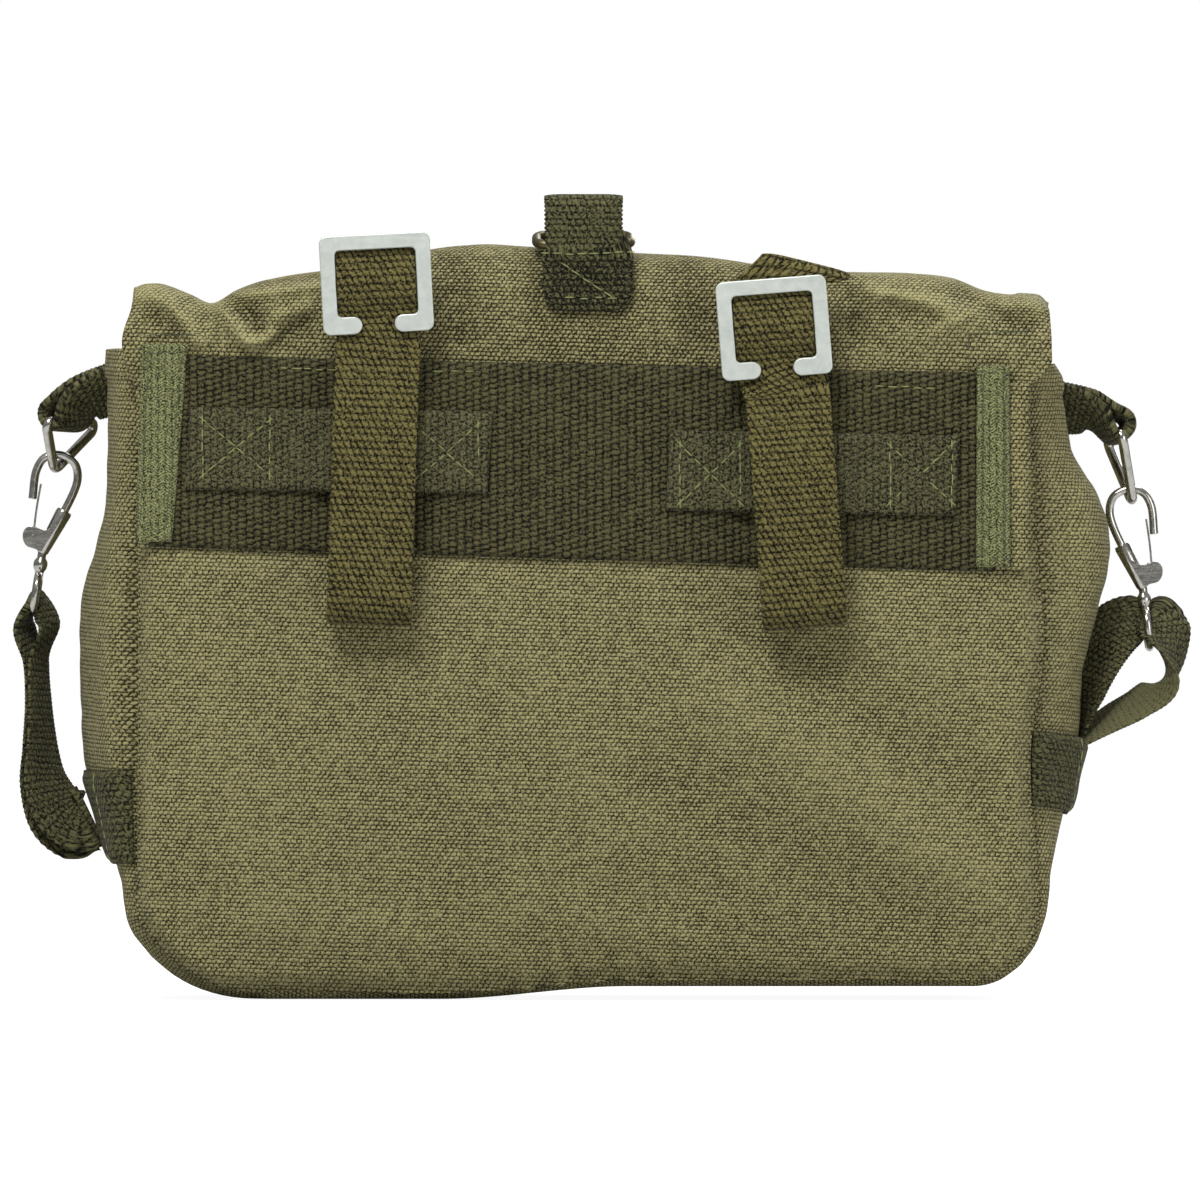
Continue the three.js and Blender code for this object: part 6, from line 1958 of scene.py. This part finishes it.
class BagSideRings(bpy.types.Operator):
    """Side rings and the webbing loops that hold them"""

    bl_idname = "bag.side_rings"
    bl_label = "Side rings and loops"

    def execute(self, context):
        looks = finishes()
        scallop = context.scene.bag_sizes.scallop / MM
        for side in SIDES:
            points, plane = side_ring_points(side)
            ring, faces = tube(points, RING_WIRE, True, RING_SIDES, plane)
            metal_piece(f"side_wire_ring_{side}", ring, faces, looks["nickel"], [f"side_ring_{side}"])
            webbing_piece(f"side_webbing_loop_{side}", side_loop_rows(side), WEBBING, False, looks["dark"],
                          [f"side_loop_{side}"], scallop * SCALLOP_SHARE["loop"],
                          columns=12, bulk=LOOP_BULK)
        return {"FINISHED"}


class BagClips(bpy.types.Operator):
    """Snap clips: bow, sleeve, sprung leaf and eye"""

    bl_idname = "bag.clips"
    bl_label = "Snap clips"

    def execute(self, context):
        look = finishes()["nickel"]
        for side in SIDES:
            sign = SIGN[side]
            clip = CLIP_PLACES[side]
            origin = (clip["x"], clip["y"], clip["z"])
            bow = smooth_line(clip_line(CLIP_BOW, sign), CLIP_BOW_STEPS)
            shells = {
                "clip_hook": tube(bow, CLIP_WIRE, False), "clip_sleeve": clip_sleeve_shells(sign),
                "clip_gate": clip_gate_shells(sign), "clip_eye": clip_eye_shells(),
            }
            for node, (points, faces) in shells.items():
                placed = turned(points, clip["lean"], origin)
                body = f"gate_{side}" if node == "clip_gate" else BAG
                metal_piece(f"{node}_metal_{side}", placed, faces, look, [f"{node}_{side}"],
                            body, CLIP_BEVEL[node])
        return {"FINISHED"}


class BagSideStraps(bpy.types.Operator):
    """Side straps and the lower tabs they are sewn to"""

    bl_idname = "bag.side_straps"
    bl_label = "Side straps and lower tabs"

    def lower_tab(self, side, look):
        grid, uv = lower_tab_grid(side)
        thickness = LOWER_TAB["thickness"] - LOWER_TAB["sunk"]
        sheet_piece(f"lower_tab_webbing_{side}", grid, uv, look, thickness, [f"lower_tab_{side}"])

    def execute(self, context):
        looks = finishes()
        scallop = context.scene.bag_sizes.scallop / MM
        for side in SIDES:
            rows = strap_line(SIDE_STRAPS[side], SIDE_STRAP_STEPS)
            by_eye = bell(rows[:, 2] - SIDE_STRAP_BULK[side], SIDE_STRAP_BULK["reach"])
            along = np.linspace(0, 1, len(rows))
            # Painted light on the right strap's lower run
            painted_shading = SIDE_STRAP_PAINTED_LIGHT[side] * smoothstep(along, *SIDE_STRAP_PAINTED_LIGHT["along"])
            webbing_piece(f"side_webbing_{side}", rows, SIDE_STRAP_WEBBING, False, looks["dark"],
                          [f"side_strap_{side}"], scallop * SCALLOP_SHARE["side"],
                          columns=12, bulk=1 + SIDE_STRAP_BULK["extra"] * by_eye, wear=painted_shading)
            self.lower_tab(side, looks["dark"])
        return {"FINISHED"}


class BagStitches(bpy.types.Operator):
    """Sewing threads that show"""

    bl_idname = "bag.stitches"
    bl_label = "Stitches"

    def execute(self, context):
        looks = finishes()
        sizes = context.scene.bag_sizes
        pitch, radius = sizes.stitch_pitch, sizes.stitch_radius
        stitches("light_stitches", light_runs(), looks["thread"], pitch, radius)
        stitches("dark_stitches", dark_runs(), looks["thread_dark"], pitch * DARK_PITCH, radius)
        return {"FINISHED"}


STEPS = (
    BagStage, BagBody, BagFlap, BagBand, BagBeltStraps, BagHooks, BagHanger, BagSideRings, BagClips,
    BagSideStraps, BagStitches,
)


class BagPanel(bpy.types.Panel):
    """Lists the pieces of the bag"""

    bl_idname = "VIEW3D_PT_field_bag"
    bl_label = "Field Bag"
    bl_space_type = "VIEW_3D"
    bl_region_type = "UI"
    bl_category = "Field Bag"

    def draw(self, context):
        for step in STEPS:
            self.layout.operator(step.bl_idname)
        for group in (context.scene.bag_sizes, context.scene.bag_colours):
            for key in group.bl_rna.properties.keys():
                if key not in {"rna_type", "name"}:
                    self.layout.prop(group, key)


CLASSES = (BagSizes, BagColours, *STEPS, BagPanel)


def register():
    for one in CLASSES:
        bpy.utils.register_class(one)
    bpy.types.Scene.bag_sizes = PointerProperty(type=BagSizes)
    bpy.types.Scene.bag_colours = PointerProperty(type=BagColours)


def unregister():
    del bpy.types.Scene.bag_colours
    del bpy.types.Scene.bag_sizes
    for one in reversed(CLASSES):
        bpy.utils.unregister_class(one)


def main():
    register()
    for step in STEPS:
        group, name = step.bl_idname.split(".")
        getattr(getattr(bpy.ops, group), name)()


if __name__ == "__main__":
    main()
